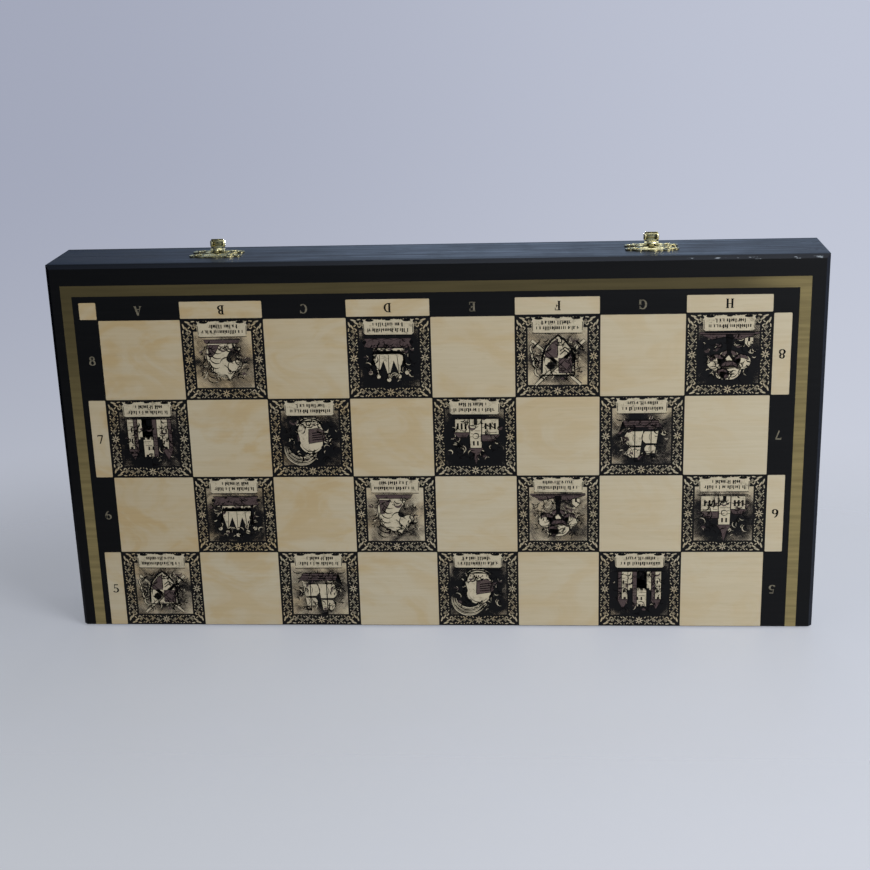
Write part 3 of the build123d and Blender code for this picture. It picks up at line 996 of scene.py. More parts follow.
def rook_profile(radius, height):
    """A tower with a sunk top."""
    wall = radius * 0.66
    neck = height * 0.62
    stem_top = (radius * 0.45, neck - radius * 0.14)
    inner = wall * 0.66
    floor_height = height - radius * 0.26
    head = [
        (radius * 0.46, neck + radius * 0.16),
        (radius * 0.5, neck + radius * 0.3),
        (wall * 0.94, neck + radius * 0.44),
        (wall, neck + radius * 0.5),
        (wall, height - 0.03 * radius),
        (wall * 0.97, height),
        (inner, height),
        (inner, floor_height),
        (0, floor_height),
    ]
    shoulder = collar(radius * 0.66, neck, radius * 0.15)
    return foot(radius) + sweep_in((radius * 0.72, radius * 0.5), stem_top, 2.0) + shoulder + head


def bishop_profile(radius, height):
    """A mitre with a knob."""
    neck = height * 0.56
    bead = radius * 0.17
    widest = radius * 0.53
    stem_top = (radius * 0.3, neck - radius * 0.16)
    mitre_low, mitre_high = neck + radius * 0.12, height - 2 * bead
    mitre = []
    for step in range(13):
        share = step / 12
        swell = math.sin(math.pi * (0.16 + 0.84 * share) ** 0.72)
        mitre.append((max(widest * swell, radius * 0.1), mitre_low + (mitre_high - mitre_low) * share))
    knob = arc(0, height - bead, bead, -60, 90, 6)
    knob[-1] = (0, height)
    shoulder = collar(radius * 0.66, neck, radius * 0.16)
    return foot(radius) + sweep_in((radius * 0.72, radius * 0.5), stem_top, 2.6) + shoulder + mitre + knob


def crowned_profile(radius, height, neck_share, rim_share, top_share):
    """The stem and the flared coronet that the king and the queen share."""
    neck = height * neck_share
    rim_height = height * rim_share
    top = height * top_share
    flare = radius * 0.6
    stem_top = (radius * 0.32, neck - radius * 0.3)
    lower = [
        (radius * 0.4, neck - radius * 0.26),
        (radius * 0.56, neck - radius * 0.22),
        (radius * 0.56, neck - radius * 0.16),
        (radius * 0.42, neck - radius * 0.12),
    ]
    shoulder = collar(radius * 0.68, neck + radius * 0.02, radius * 0.15)
    rise = sweep_in((radius * 0.36, neck + radius * 0.14), (flare, rim_height), 0.42)
    dome = arc(0, rim_height - (top - rim_height) * 0.1, flare * 0.9, 12, 76, 6)
    squash = (top - rim_height) / (flare * 0.88)
    dome = [(r, rim_height + (z - rim_height) * squash) for r, z in dome]
    head = [(flare, rim_height + radius * 0.03), (flare * 0.93, rim_height + radius * 0.04)] + dome
    stem = sweep_in((radius * 0.74, radius * 0.5), stem_top, 2.6)
    return foot(radius) + stem + lower + shoulder + rise + head


def queen_profile(radius, height):
    """The flared coronet with a knob."""
    bead = radius * 0.17
    points = crowned_profile(radius, height, 0.62, 0.885, 0.94)
    knob = arc(0, height - bead, bead, -55, 90, 6)
    knob[-1] = (0, height)
    return points + knob


def king_profile(radius, height):
    """The flared crown with a seat for its cross."""
    points = crowned_profile(radius, height, 0.6, 0.8, 0.865)
    return points + [(radius * 0.12, height * 0.868), (0, height * 0.87)]


def spun(name, profile, steps=TURNED_SEGMENTS):
    """A turned solid from its profile, radius and height from the foot to the top."""
    bpy.ops.mesh.primitive_circle_add(vertices=3, radius=1.0, fill_type="NOTHING")
    piece = bpy.context.object
    piece.name = name
    mesh = piece.data
    mesh.clear_geometry()
    points = [(radius, 0.0, height) for radius, height in profile]
    edges = [(start, start + 1) for start in range(len(points) - 1)]
    mesh.from_pydata(points, edges, [])
    in_edit_mode(
        piece,
        lambda: bpy.ops.mesh.spin(
            steps=steps, angle=2 * math.pi, center=(0, 0, 0), axis=(0, 0, 1), use_auto_merge=True
        ),
        mode="VERT",
        everything=True,
    )
    tidy_mesh(piece)
    smooth(piece, TURNED_SMOOTH)
    return piece


def block(name, size, place=(0, 0, 0), turn=(0, 0, 0)):
    """A plain box, to be shaped or to cut with."""
    bpy.ops.mesh.primitive_cube_add(size=1, location=place, rotation=turn)
    piece = bpy.context.object
    piece.name = name
    piece.scale = size
    apply_place(piece)
    return piece


def round_bar(name, radius, depth, place, turn=(0, 0, 0), sides=24):
    """A plain cylinder, to be shaped or to cut with."""
    bpy.ops.mesh.primitive_cylinder_add(
        vertices=sides, radius=radius, depth=depth, location=place, rotation=turn
    )
    piece = bpy.context.object
    piece.name = name
    apply_place(piece)
    return piece


def outline_curve(name, outline, thickness, holes=()):
    """A filled flat curve in the XY plane from an outline of points, with holes and a thickness."""
    data = bpy.data.curves.new(name, "CURVE")
    data.dimensions = "2D"
    data.fill_mode = "BOTH"
    data.extrude = thickness / 2
    for ring in (outline, *holes):
        spline = data.splines.new("POLY")
        spline.points.add(len(ring) - 1)
        for point, (x, y) in zip(spline.points, ring):
            point.co = (x, y, 0, 1)
        spline.use_cyclic_u = True
    curve = bpy.data.objects.new(name, data)
    bpy.context.scene.collection.objects.link(curve)
    return curve


def meshed(curves, name):
    """Flat curves made into one mesh."""
    make_active(curves[0])
    for curve in curves:
        curve.select_set(True)
    bpy.ops.object.convert(target="MESH")
    if len(curves) > 1:
        bpy.ops.object.join()
    piece = bpy.context.view_layer.objects.active
    piece.name = name
    tidy_mesh(piece)
    return piece


def flat_outline(name, outline, thickness, holes=()):
    """A flat shape in the XY plane from an outline of points, with holes, given a thickness."""
    return meshed([outline_curve(name, outline, thickness, holes)], name)


def turned_pawn(radius, height):
    """A pawn needs nothing more than its turning."""
    return spun("pawn", pawn_profile(radius, height))


def turned_rook(radius, height):
    """A tower with six gaps cut through its battlements."""
    tower = spun("rook", rook_profile(radius, height))
    depth = radius * 0.24
    for turn in (0, math.pi / 3, 2 * math.pi / 3):
        slot = block("slot", (3 * radius, radius * 0.2, depth * 2), (0, 0, height), (0, 0, turn))
        cut(tower, slot)
    soften(tower, GAP_ROUND, 1, 40)
    return tower


def turned_bishop(radius, height):
    """A mitre with its slanting cut."""
    bishop = spun("bishop", bishop_profile(radius, height))
    place = (radius * 0.48, 0, height * 0.8)
    slit = block("slit", (radius * 0.09, radius * 2, radius * 0.9), place, (0, math.radians(38), 0))
    cut(bishop, slit)
    smooth(bishop, TURNED_SMOOTH)
    return bishop


def turned_queen(radius, height):
    """A coronet with ten notches round its rim, none of which reaches the middle."""
    queen = spun("queen", queen_profile(radius, height))
    level = height * 0.885 + radius * 0.04
    reach = radius * 0.9
    for step in range(QUEEN_NOTCHES):
        angle = QUEEN_TURN + 2 * math.pi * step / QUEEN_NOTCHES
        place = (reach * math.sin(angle), -reach * math.cos(angle), level)
        cut(queen, round_bar("notch", radius * 0.1, radius * 1.2, place, (math.pi / 2, 0, angle), 10))
    smooth(queen, TURNED_SMOOTH)
    return queen


def cross_outline(arm, half):
    """A small cross whose arms widen to their ends."""
    ring = []
    for turn in range(4):
        angle = math.pi / 2 * turn
        for along, across in ((half, arm * 0.9), (half, -arm * 0.9), (arm * 0.45, -arm * 0.45)):
            x = along * math.cos(-angle) - across * math.sin(-angle)
            y = along * math.sin(-angle) + across * math.cos(-angle)
            ring.append((x, y))
    return ring


def turned_king(radius, height):
    """A flared crown that carries a small cross."""
    king = spun("king", king_profile(radius, height))
    half = height * 0.068
    cross = flat_outline("cross", cross_outline(radius * 0.17, half), radius * 0.22)
    soften(cross, CROSS_ROUND, 2, 40)
    return joined([king, placed(cross, (0, 0, height - half), UPRIGHT)], "king")


HORSE_OUTLINE = (
    (-0.66, 0.13), (0.62, 0.13), (0.6, 0.2), (0.5, 0.27), (0.36, 0.36), (0.26, 0.45), (0.22, 0.52),
    (0.3, 0.57), (0.44, 0.58), (0.56, 0.55), (0.66, 0.53), (0.78, 0.525), (0.9, 0.55), (0.98, 0.6),
    (0.98, 0.66), (0.9, 0.71), (0.76, 0.77), (0.62, 0.83), (0.5, 0.885), (0.42, 0.93), (0.36, 1.0),
    (0.24, 0.95), (0.14, 0.92), (0.02, 0.93), (-0.16, 0.9), (-0.34, 0.85), (-0.5, 0.78), (-0.62, 0.7),
    (-0.7, 0.6), (-0.75, 0.5), (-0.77, 0.4), (-0.76, 0.3), (-0.72, 0.2),
)


def carved_knight(radius, height):
    """A horse's head carved from the side outline, on a turned foot."""
    top = [(radius * 0.7, radius * 0.52), (radius * 0.66, radius * 0.6), (0, radius * 0.6)]
    stand = spun("stand", foot(radius) + top)
    outline = [(x * radius, y * height) for x, y in HORSE_OUTLINE]
    head = flat_outline("head", outline, radius * 0.78)
    soften(head, radius * 0.2, 4, 40)
    for point in head.data.vertices:
        along, up = point.co.x / radius, point.co.y / height
        muzzle = max(0.0, min(1.0, (along - 0.2) / 0.7)) * (1.0 if up > 0.4 else 0.0)
        crest = max(0.0, min(1.0, (-along - 0.3) / 0.5))
        point.co.z *= 1.0 - 0.28 * muzzle - 0.4 * crest + (0.12 if up < 0.3 else 0.0)
    placed(head, turn=UPRIGHT)
    for side in (-1, 1):
        place = (radius * 0.44, side * radius * 0.36, height * 0.79)
        cut(head, round_bar("eye", radius * 0.075, radius * 0.16, place, UPRIGHT, 12))
        for step in range(5):
            share = step / 4
            place = (-radius * (0.34 + 0.2 * share), side * radius * 0.33, height * (0.8 - 0.42 * share))
            turn = (0, math.radians(24 + 14 * share), 0)
            cut(head, block("lock", (radius * 0.5, radius * 0.06, radius * 0.05), place, turn))
    place = (radius * 0.88, 0, height * 0.585)
    turn = (0, math.radians(-14), 0)
    cut(head, block("mouth", (radius * 0.34, radius * 2, radius * 0.05), place, turn))
    smooth(head, 40)
    return joined([stand, head], "knight")


def round_radius(low, high, corner):
    """The true radius of a round solid, from its box's depth and where its farthest corner lies."""
    return (high.y - low.y) / 2 / math.sin(math.radians(corner))


def copies_on(boxes, pattern, base):
    """Copies of a pattern at the middle of each box and at a height of it; the pattern goes."""
    copies = []
    for low, high in boxes:
        place = Vector(((low.x + high.x) / 2, (low.y + high.y) / 2, base(low, high)))
        copies.append(copied(pattern, Matrix.Translation(place)))
    bpy.data.objects.remove(pattern)
    return copies


MEN = {
    "king": turned_king,
    "queen": turned_queen,
    "bishops": turned_bishop,
    "knights": carved_knight,
    "rooks": turned_rook,
    "pawns": turned_pawn,
}


def place_men(colour, body, finish):
    """Model each kind of man once at its size in the frame and copy it to every place."""
    for kind, shape in MEN.items():
        node = f"{colour}_{kind}"
        boxes = solids_of(node)
        low, high = boxes[0]
        pattern = shape(round_radius(low, high, MAN_CORNER), high.z - low.z)
        copies = copies_on(boxes, pattern, lambda low, high: low.z)
        fitted(joined(copies, node + "_turned"), node + "_turned", body, f"{colour}_men", finish, node)


# Trays and felts


def flocked_tray(half, finish):
    """The tray with its edges rounded as flock on a moulding rounds them."""
    node = half + "_tray"
    tray = copied(frame["nodes"][node])
    tray.parent = None
    tidy_mesh(tray)
    in_edit_mode(
        tray,
        lambda: bpy.ops.mesh.dissolve_limited(angle_limit=math.radians(1)),
        everything=True,
    )
    soften(tray, FLOCK_ROUND, 2, 30)
    del tray["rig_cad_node"]
    fitted(tray, node + "_flocked", half + "_half", "tray_flock", finish, node)


def round_felts(colour, body, finish):
    """A soft-edged disc of felt under each man."""
    node = colour + "_felts"
    discs = []
    for low, high in solids_of(node):
        middle = (low + high) / 2
        radius = (high.y - low.y) / 2
        disc = round_bar("disc", radius, high.z - low.z, middle, sides=TURNED_SEGMENTS)
        soften(disc, FELT_ROUND, 2)
        discs.append(disc)
    fitted(joined(discs, node + "_discs"), node + "_discs", body, "base_felt", finish, node)


# Brass fittings


def lobed_half(x, lobes):
    """Half the depth of a scalloped plate at x: the farthest of its round lobes."""
    reach = [math.sqrt(max(0.0, radius * radius - (abs(x) - centre) ** 2)) for centre, radius in lobes]
    return max(reach)


def plate_outline(length, depth, steps=30):
    """Outline of a scalloped plate with a waist, two wings, two small lobes and two pointed tips."""
    half = length / 2
    waist = depth * 0.42
    lobes = (
        (0.0, depth / 2),
        (length * 0.115, waist),
        (length * 0.25, depth * 0.4),
        (length * 0.345, depth * 0.24),
        (length * 0.415, depth * 0.235),
    )
    tip = length * 0.475
    edge = []
    for step in range(-steps, steps + 1):
        x = tip * math.sin(math.pi / 2 * step / steps)
        edge.append((x, max(lobed_half(x, lobes), depth * 0.05)))
    lower = [(x, -y) for x, y in reversed(edge)]
    return [(-half, 0), *edge, (half, 0), *lower]


def oval(x, y, radius, flatten=1.0, sides=16):
    """Outline of a round or flattened shape."""
    turns = [2 * math.pi * step / sides for step in range(sides)]
    return [(x + radius * math.cos(turn), y + flatten * radius * math.sin(turn)) for turn in turns]


def tube(name, path, radius):
    """A round bead along a path of points, thinned to nothing at its ends."""
    data = bpy.data.curves.new(name, "CURVE")
    data.dimensions = "3D"
    data.bevel_depth = radius
    data.bevel_resolution = 2
    data.use_fill_caps = True
    spline = data.splines.new("POLY")
    spline.points.add(len(path) - 1)
    last = len(path) - 1
    for step, (point, place) in enumerate(zip(spline.points, path)):
        point.co = (*place, 1)
        point.radius = 0.35 + 0.65 * math.sin(math.pi * step / last)
    piece = bpy.data.objects.new(name, data)
    bpy.context.scene.collection.objects.link(piece)
    make_active(piece)
    bpy.ops.object.convert(target="MESH")
    piece = bpy.context.object
    tidy_mesh(piece)
    smooth(piece, 60)
    return piece


def embossed_plate(length, depth):
    """A pressed plate lying on z = 0: a raised rim, pierced wings and beaded scrolls."""
    rise = fittings().plate
    hole = fittings().piercing
    wing, lobe = length * 0.25, length * 0.375
    holes = []
    for side in (-1, 1):
        for across in (-1, 1):
            holes.append(oval(side * wing, across * depth * 0.19, hole, sides=12))
            holes.append(oval(side * length * 0.325, across * depth * 0.115, hole * 0.55, sides=10))
    plate = flat_outline("plate", plate_outline(length, depth), rise, holes)
    placed(plate, (0, 0, rise / 2))
    select_faces(plate, lambda centre, normal: normal.z > 0.9)
    rim = depth * 0.055
    sink = rise * 0.42
    in_edit_mode(plate, lambda: bpy.ops.mesh.inset(thickness=rim, depth=0, use_boundary=True))
    in_edit_mode(plate, lambda: bpy.ops.mesh.inset(thickness=rim * 0.4, depth=-sink, use_boundary=True))
    soften(plate, fittings().edge * 0.7, 1, 35)
    beads = [plate]
    low = rise * 0.6
    for side in (-1, 1):
        for across in (-1, 1):
            scroll = []
            for step in range(11):
                turn = math.radians(200 - 215 * step / 10)
                radius = depth * (0.1 + 0.012 * step)
                x = wing + radius * math.cos(turn)
                y = depth * 0.19 + radius * math.sin(turn)
                scroll.append((side * x, across * y, low))
            beads.append(tube("scroll", scroll, depth * 0.038))
        circle = oval(side * lobe, 0, depth * 0.15, sides=20)
        ring = [(x, y, low) for x, y in circle + circle[:1]]
        beads.append(tube("ring", ring, depth * 0.04))
    return joined(beads, "plate")


def hook_tongue(width, height, thickness):
    """The catch: a round-topped tongue bent up from the plate, with a curled lip in front of it."""
    radius = width / 2
    outline = [(-radius, -height * 0.2), (radius, -height * 0.2)]
    outline += arc(0, height - radius, radius, 0, 180, 12)
    tongue = placed(flat_outline("tongue", outline, thickness), turn=UPRIGHT)
    soften(tongue, fittings().edge * 1.6, 3, 40)
    lip_radius = thickness * 0.36
    reach = (thickness + lip_radius) * 0.4
    lip = []
    for degrees in range(0, 181, 15):
        turn = math.radians(degrees)
        lip.append((radius * 0.82 * math.cos(turn), -reach * math.sin(turn) ** 0.5, height - radius * 0.72))
    return joined([tongue, tube("lip", lip, lip_radius)], "hook")


def ear(width, radius, drop, bore):
    """One ear of the hasp's hinge: round on top, with the pin's bore."""
    outline = [(-radius, -drop), (radius, -drop), *arc(0, 0, radius, 0, 180, 16)]
    shape = placed(flat_outline("ear", outline, width, [oval(0, 0, bore)]), turn=SIDEWAYS)
    soften(shape, fittings().edge, 1, 40)
    return shape


def dished_hasp(width, depth, low, high, roll):
    """The hasp about its pin: a barrel, a neck, a dish with a rolled rim and a curled lip."""
    sheet = fittings().sheet
    front = -sheet / 2
    dish = block("dish", (width, depth, high - low), (0, front + depth / 2, (low + high) / 2))
    side_edges = fittings().edge * 8
    soften(dish, side_edges, 3, 40)
    select_faces(dish, lambda centre, normal: normal.y < -0.9)
    middle = (0, 0, (low + high) / 2)
    in_edit_mode(
        dish,
        lambda: bpy.ops.mesh.inset(thickness=sheet * 0.15, depth=0, use_boundary=True),
        lambda: bpy.ops.transform.resize(value=(0.84, 1, 1), center_override=middle),
        lambda: bpy.ops.mesh.inset(thickness=sheet * 0.15, depth=-sheet * 0.15, use_boundary=True),
        lambda: bpy.ops.mesh.extrude_region_move(
            TRANSFORM_OT_translate={"value": (0, depth - sheet * 1.4, 0)}
        ),
        lambda: bpy.ops.mesh.inset(thickness=sheet * 0.3, depth=-sheet * 0.25, use_boundary=True),
    )
    smooth(dish, 50)
    barrel_radius, bore = fittings().barrel, fittings().pin + BORE_GAP
    barrel_width = width * 0.55
    outer, inner = oval(0, 0, barrel_radius, sides=28), oval(0, 0, bore, sides=20)
    barrel = placed(flat_outline("barrel", outer, barrel_width, [inner]), turn=SIDEWAYS)
    soften(barrel, fittings().edge, 1, 50)
    neck_low = barrel_radius * 0.75
    neck_high = low + sheet
    neck = block("neck", (barrel_width, sheet, neck_high - neck_low), (0, 0, (neck_high + neck_low) / 2))
    soften(neck, fittings().edge, 2, 40)
    spiral = []
    for step in range(19):
        turn = math.radians(100 - 250 * step / 18)
        spiral.append((roll * 0.99 * math.cos(turn), roll * 0.99 * math.sin(turn)))
    inside = [(y * 0.45, z * 0.45) for y, z in reversed(spiral)]
    lip = flat_outline("lip", spiral + inside, width - side_edges * 1.6)
    placed(lip, (0, front + roll, high), SIDEWAYS)
    soften(lip, fittings().edge * 0.8, 2, 40)
    return joined([dish, barrel, neck, lip], "hasp")


def make_latch(side, finish):
    """Both plates, the hook, the ears and the hasp of one latch."""
    rise = fittings().plate
    low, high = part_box(side + "_catch_plate")
    x = (low.x + high.x) / 2
    base, length, depth = low.z, high.x - low.x, high.y - low.y
    plate = placed(embossed_plate(length, depth), (x, (low.y + high.y) / 2, base))
    hook_base = base + rise * 0.6
    hook_width = fittings().hook
    hook = hook_tongue(hook_width, high.z - hook_base, hook_width * 0.42)
    placed(hook, (x, high.y - hook_width * 0.26, hook_base))
    catch = joined([plate, hook], side + "_catch")
    fitted(catch, catch.name, "front_half", "latch_brass", finish, side + "_catch_plate")

    low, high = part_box(side + "_hasp_plate")
    pin_low, pin_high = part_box(side + "_hasp_pin")
    pin = (pin_low + pin_high) / 2
    plate = placed(embossed_plate(length, depth), (pin.x, (low.y + high.y) / 2, base))
    ears = []
    outer = (pin_high.x - pin_low.x - fittings().ear) / 2
    for end in (-1, 1):
        lug = ear(fittings().ear, high.z - pin.z, pin.z - base - rise * 0.5, fittings().pin)
        ears.append(placed(lug, (pin.x + end * outer, pin.y, pin.z)))
    seat = joined([plate, *ears], side + "_seat")
    fitted(seat, seat.name, "back_half", "latch_brass", finish, side + "_hasp_plate")

    low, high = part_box(side + "_hasp")
    roll = fittings().roll
    dish_depth = high.y - low.y - fittings().barrel + fittings().sheet / 2
    hasp = dished_hasp(high.x - low.x, dish_depth, fittings().root, high.z - roll - pin.z, roll)
    hasp.location = pin
    name = side + "_dished_hasp"
    fitted(hasp, name, side + "_hasp_body", "latch_brass", finish, side + "_hasp")
    dress(side + "_hasp_pin", finish)


def domed_nail(radius, height, shank):
    """A nail with a low domed head, its seat at z = 0."""
    rim, stem = 0.16, radius * 0.42
    profile = [(0, -shank), (radius * 0.3, -shank * 0.94), (stem, -height * 0.3), (stem, 0),
               (radius * 0.93, 0), (radius, height * rim)]
    turns = [math.pi / 2 * step / 5 for step in range(1, 6)]
    dome = [(radius * math.cos(turn), height * (rim + (1 - rim) * math.sin(turn))) for turn in turns]
    dome[-1] = (0, height)
    return spun("nail", profile + dome, 16)


def slotted_screw(radius, head, shank):
    """A flat-headed screw with its slot, the head's face at z = 0 and the shank above it."""
    profile = [(0, 0), (radius * 0.97, 0), (radius, head * 0.2), (radius, head), (radius * 0.5, head * 1.02),
               (radius * 0.5, shank * 0.8), (0, shank)]
    screw = spun("screw", profile, 20)
    slot = block("slot", (radius * 3, fittings().slot, head), (0, 0, 0), (0, 0, math.radians(28)))
    cut(screw, slot)
    smooth(screw, 35)
    return screw


def make_nails(half, finish):
    """The latch nails of one half."""
    node = half + "_latch_nails"
    boxes = solids_of(node)
    low, high = boxes[0]
    seat = BOARD_HIGH.z + fittings().plate
    pattern = domed_nail(round_radius(low, high, SMALL_CORNER), high.z - seat, seat - low.z)
    copies = copies_on(boxes, pattern, lambda low, high: seat)
    fitted(joined(copies, node + "_domed"), node + "_domed", half + "_half", "small_steel", finish, node)


def make_screws(half, finish):
    """The hinge screws of one half."""
    node = half + "_hinge_screws"
    boxes = solids_of(node)
    low, high = boxes[0]
    pattern = slotted_screw(round_radius(low, high, SMALL_CORNER), fittings().plate, high.z - low.z)
    copies = copies_on(boxes, pattern, lambda low, high: low.z)
    fitted(joined(copies, node + "_slotted"), node + "_slotted", half + "_half", "small_steel", finish, node)


# Print on the boards


def ribbon(path, widths):
    """Outline of a stroke along a path, with its own width at every point."""
    left, right = [], []
    last = len(path) - 1
    for step, (point, width) in enumerate(zip(path, widths)):
        before, after = path[max(step - 1, 0)], path[min(step + 1, last)]
        along = Vector((after[0] - before[0], after[1] - before[1])).normalized()
        left.append((point[0] - along.y * width / 2, point[1] + along.x * width / 2))
        right.append((point[0] + along.y * width / 2, point[1] - along.x * width / 2))
    return left + right[::-1]


THICK, THIN, SERIF = 0.2, 0.07, 0.06


def stroke(x0, y0, x1, y1, width=THICK):
    """A straight stroke of a letter, in shares of its height."""
    return [(x0, y0), (x1, y1)], [width, width]


def bowl(x, y, reach_x, reach_y, start, end, thick=THICK):
    """A curved stroke, thick at its sides and thin above and below."""
    steps = max(6, int(abs(end - start) / 20))
    path, widths = [], []
    for step in range(steps + 1):
        turn = math.radians(start + (end - start) * step / steps)
        path.append((x + reach_x * math.cos(turn), y + reach_y * math.sin(turn)))
        widths.append(THIN + (thick - THIN) * abs(math.cos(turn)) ** 1.3)
    return path, widths


def serifs(*places, length=0.3):
    """The level serifs of a letter, each given by its middle."""
    inset = SERIF / 2
    strokes = []
    for x, y in places:
        level = y + inset if y < 0.5 else y - inset
        strokes.append(stroke(x - length / 2, level, x + length / 2, level, SERIF))
    return strokes


# Each letter and number, its strokes in shares of its height
GLYPHS = {
    "A": [stroke(0.06, 0, 0.36, 1, THIN), stroke(0.36, 1, 0.66, 0), stroke(0.17, 0.34, 0.55, 0.34, THIN),
          *serifs((0.08, 0), (0.66, 0), length=0.26)],
    "B": [stroke(0.16, 0, 0.16, 1), bowl(0.2, 0.75, 0.32, 0.22, -90, 90),
          bowl(0.2, 0.28, 0.4, 0.25, -90, 90), *serifs((0.1, 0), (0.1, 1), length=0.26)],
    "C": [bowl(0.42, 0.5, 0.34, 0.47, 48, 312), stroke(0.7, 0.66, 0.7, 0.97, THIN)],
    "D": [stroke(0.16, 0, 0.16, 1), bowl(0.2, 0.5, 0.46, 0.47, -90, 90),
          *serifs((0.1, 0), (0.1, 1), length=0.26)],
    "E": [stroke(0.16, 0, 0.16, 1), stroke(0, 0.97, 0.6, 0.97, THIN),
          stroke(0.16, 0.52, 0.46, 0.52, THIN), stroke(0, 0.03, 0.62, 0.03, THIN),
          stroke(0.58, 0.72, 0.58, 1, THIN), stroke(0.6, 0, 0.6, 0.28, THIN),
          stroke(0.44, 0.4, 0.44, 0.64, THIN)],
    "F": [stroke(0.18, 0, 0.18, 1), stroke(0, 0.97, 0.6, 0.97, THIN),
          stroke(0.18, 0.52, 0.46, 0.52, THIN), stroke(0.58, 0.72, 0.58, 1, THIN),
          stroke(0.45, 0.4, 0.45, 0.64, THIN), *serifs((0.18, 0), length=0.34)],
    "G": [bowl(0.42, 0.5, 0.34, 0.47, 48, 330), stroke(0.7, 0.66, 0.7, 0.97, THIN),
          stroke(0.68, 0, 0.68, 0.42), *serifs((0.68, 0.46), length=0.28)],
    "H": [stroke(0.14, 0, 0.14, 1), stroke(0.62, 0, 0.62, 1), stroke(0.14, 0.52, 0.62, 0.52, THIN),
          *serifs((0.14, 0), (0.14, 1), (0.62, 0), (0.62, 1), length=0.32)],
    "1": [stroke(0.32, 0, 0.32, 1), stroke(0.12, 0.8, 0.32, 0.97, THIN), *serifs((0.32, 0), length=0.4)],
    "2": [bowl(0.32, 0.7, 0.24, 0.27, 165, -35), stroke(0.53, 0.55, 0.08, 0.08, THIN),
          stroke(0.04, 0.06, 0.62, 0.06, 0.12)],
    "3": [bowl(0.3, 0.74, 0.22, 0.23, 150, -80), bowl(0.28, 0.27, 0.28, 0.24, 80, -150)],
    "4": [stroke(0.46, 0, 0.46, 1), stroke(0.46, 0.98, 0.04, 0.3, THIN), stroke(0.02, 0.3, 0.68, 0.3, 0.09),
          *serifs((0.46, 0), length=0.32)],
    "5": [stroke(0.14, 0.5, 0.18, 0.96, THIN), stroke(0.14, 0.94, 0.58, 0.94, 0.12),
          bowl(0.28, 0.3, 0.28, 0.27, 125, -150)],
    "6": [bowl(0.46, 0.36, 0.38, 0.6, 100, 200), bowl(0.35, 0.29, 0.24, 0.26, 0, 360)],
    "7": [stroke(0.04, 0.93, 0.62, 0.93, 0.13), stroke(0.06, 0.76, 0.06, 0.98, THIN),
          stroke(0.58, 0.9, 0.26, 0, 0.13)],
    "8": [bowl(0.32, 0.74, 0.2, 0.22, 0, 360), bowl(0.32, 0.27, 0.26, 0.24, 0, 360)],
}
GLYPH_MIDDLE = 0.36


def glyph(character):
    """One letter or number, flat on z = 0, its middle at the origin and its height as printed."""
    height = sizes().letter
    curves = []
    for path, widths in GLYPHS[character]:
        points = [((x - GLYPH_MIDDLE) * height, (y - 0.5) * height) for x, y in path]
        outline = ribbon(points, [width * height for width in widths])
        curves.append(outline_curve(character, outline, sizes().ink * 1.5))
    return meshed(curves, character)


def on_board(half, across, up, turn):
    """The matrix that lays a flat print on a board: across and up on the print, turned as read."""
    place = Matrix.Translation((across + sizes().shift, -PRINT_FACE, HINGE_EDGE + up))
    upright = Matrix.Rotation(math.pi / 2, 4, "X")
    matrix = place @ upright @ Matrix.Rotation(turn, 4, "Z")
    return matrix if half == "front" else Matrix.Rotation(math.pi, 4, "Z") @ matrix


def coordinates(half, dark_finish, pale_finish):
    """The letters along the latch edge and the numbers up both sides of one board."""
    square = sizes().square
    strip = (sizes().strip_inner + sizes().strip_outer) / 2
    letters = "ABCDEFGH" if half == "front" else "HGFEDCBA"
    numbers = "5678" if half == "front" else "4321"
    groups = {"dark": [], "pale": []}
    patterns = {}

    def put(character, across, up, turn, dark_cell):
        """Print one letter or number, pale where its cell is dark."""
        if character not in patterns:
            patterns[character] = glyph(character)
        copy = copied(patterns[character], on_board(half, across, up, turn))
        groups["pale" if dark_cell else "dark"].append(copy)

    for column, letter in enumerate(letters):
        put(letter, (column - MIDDLE_COLUMN) * square, strip, math.pi, column % 2 == 0)
    for row, number in enumerate(numbers):
        up = (row + 0.5) * square
        put(number, -strip, up, 0, row % 2 == 1)
        put(number, strip, up, math.pi, row % 2 == 0)
    for pattern in patterns.values():
        bpy.data.objects.remove(pattern)
    for name, finish in (("dark", dark_finish), ("pale", pale_finish)):
        piece = joined(groups[name], f"{half}_{name}_coordinates")
        fitted(piece, piece.name, half + "_half", "printed_board", finish)


# Pictures in the dark squares: in millimetres from the middle of a square, upright as they are read


def bar(x0, y0, x1, y1, width=0.5):
    """A straight line of some width."""
    along = Vector((x1 - x0, y1 - y0)).normalized() * width / 2
    return [(x0 - along.y, y0 + along.x), (x1 - along.y, y1 + along.x),
            (x1 + along.y, y1 - along.x), (x0 + along.y, y0 - along.x)]


def bow(x, y, radius, start, end, width, flatten=1.0, steps=14):
    """A curved line that thins towards its ends."""
    outer, inner = [], []
    for step in range(steps + 1):
        turn = math.radians(start + (end - start) * step / steps)
        half = width / 2 * (0.2 + 0.8 * math.sin(math.pi * step / steps))
        for side, ring in ((1, outer), (-1, inner)):
            reach = radius + side * half
            ring.append((x + reach * math.cos(turn), y + flatten * reach * math.sin(turn)))
    return outer + inner[::-1]


def walls(x0, x1, low, top, teeth, notch=1.1):
    """A wall with battlements."""
    outline = [(x0, low)]
    step = (x1 - x0) / (2 * teeth - 1)
    for tooth in range(2 * teeth - 1):
        level = top if tooth % 2 == 0 else top - notch
        outline += [(x0 + tooth * step, level), (x0 + (tooth + 1) * step, level)]
    return outline + [(x1, low)]


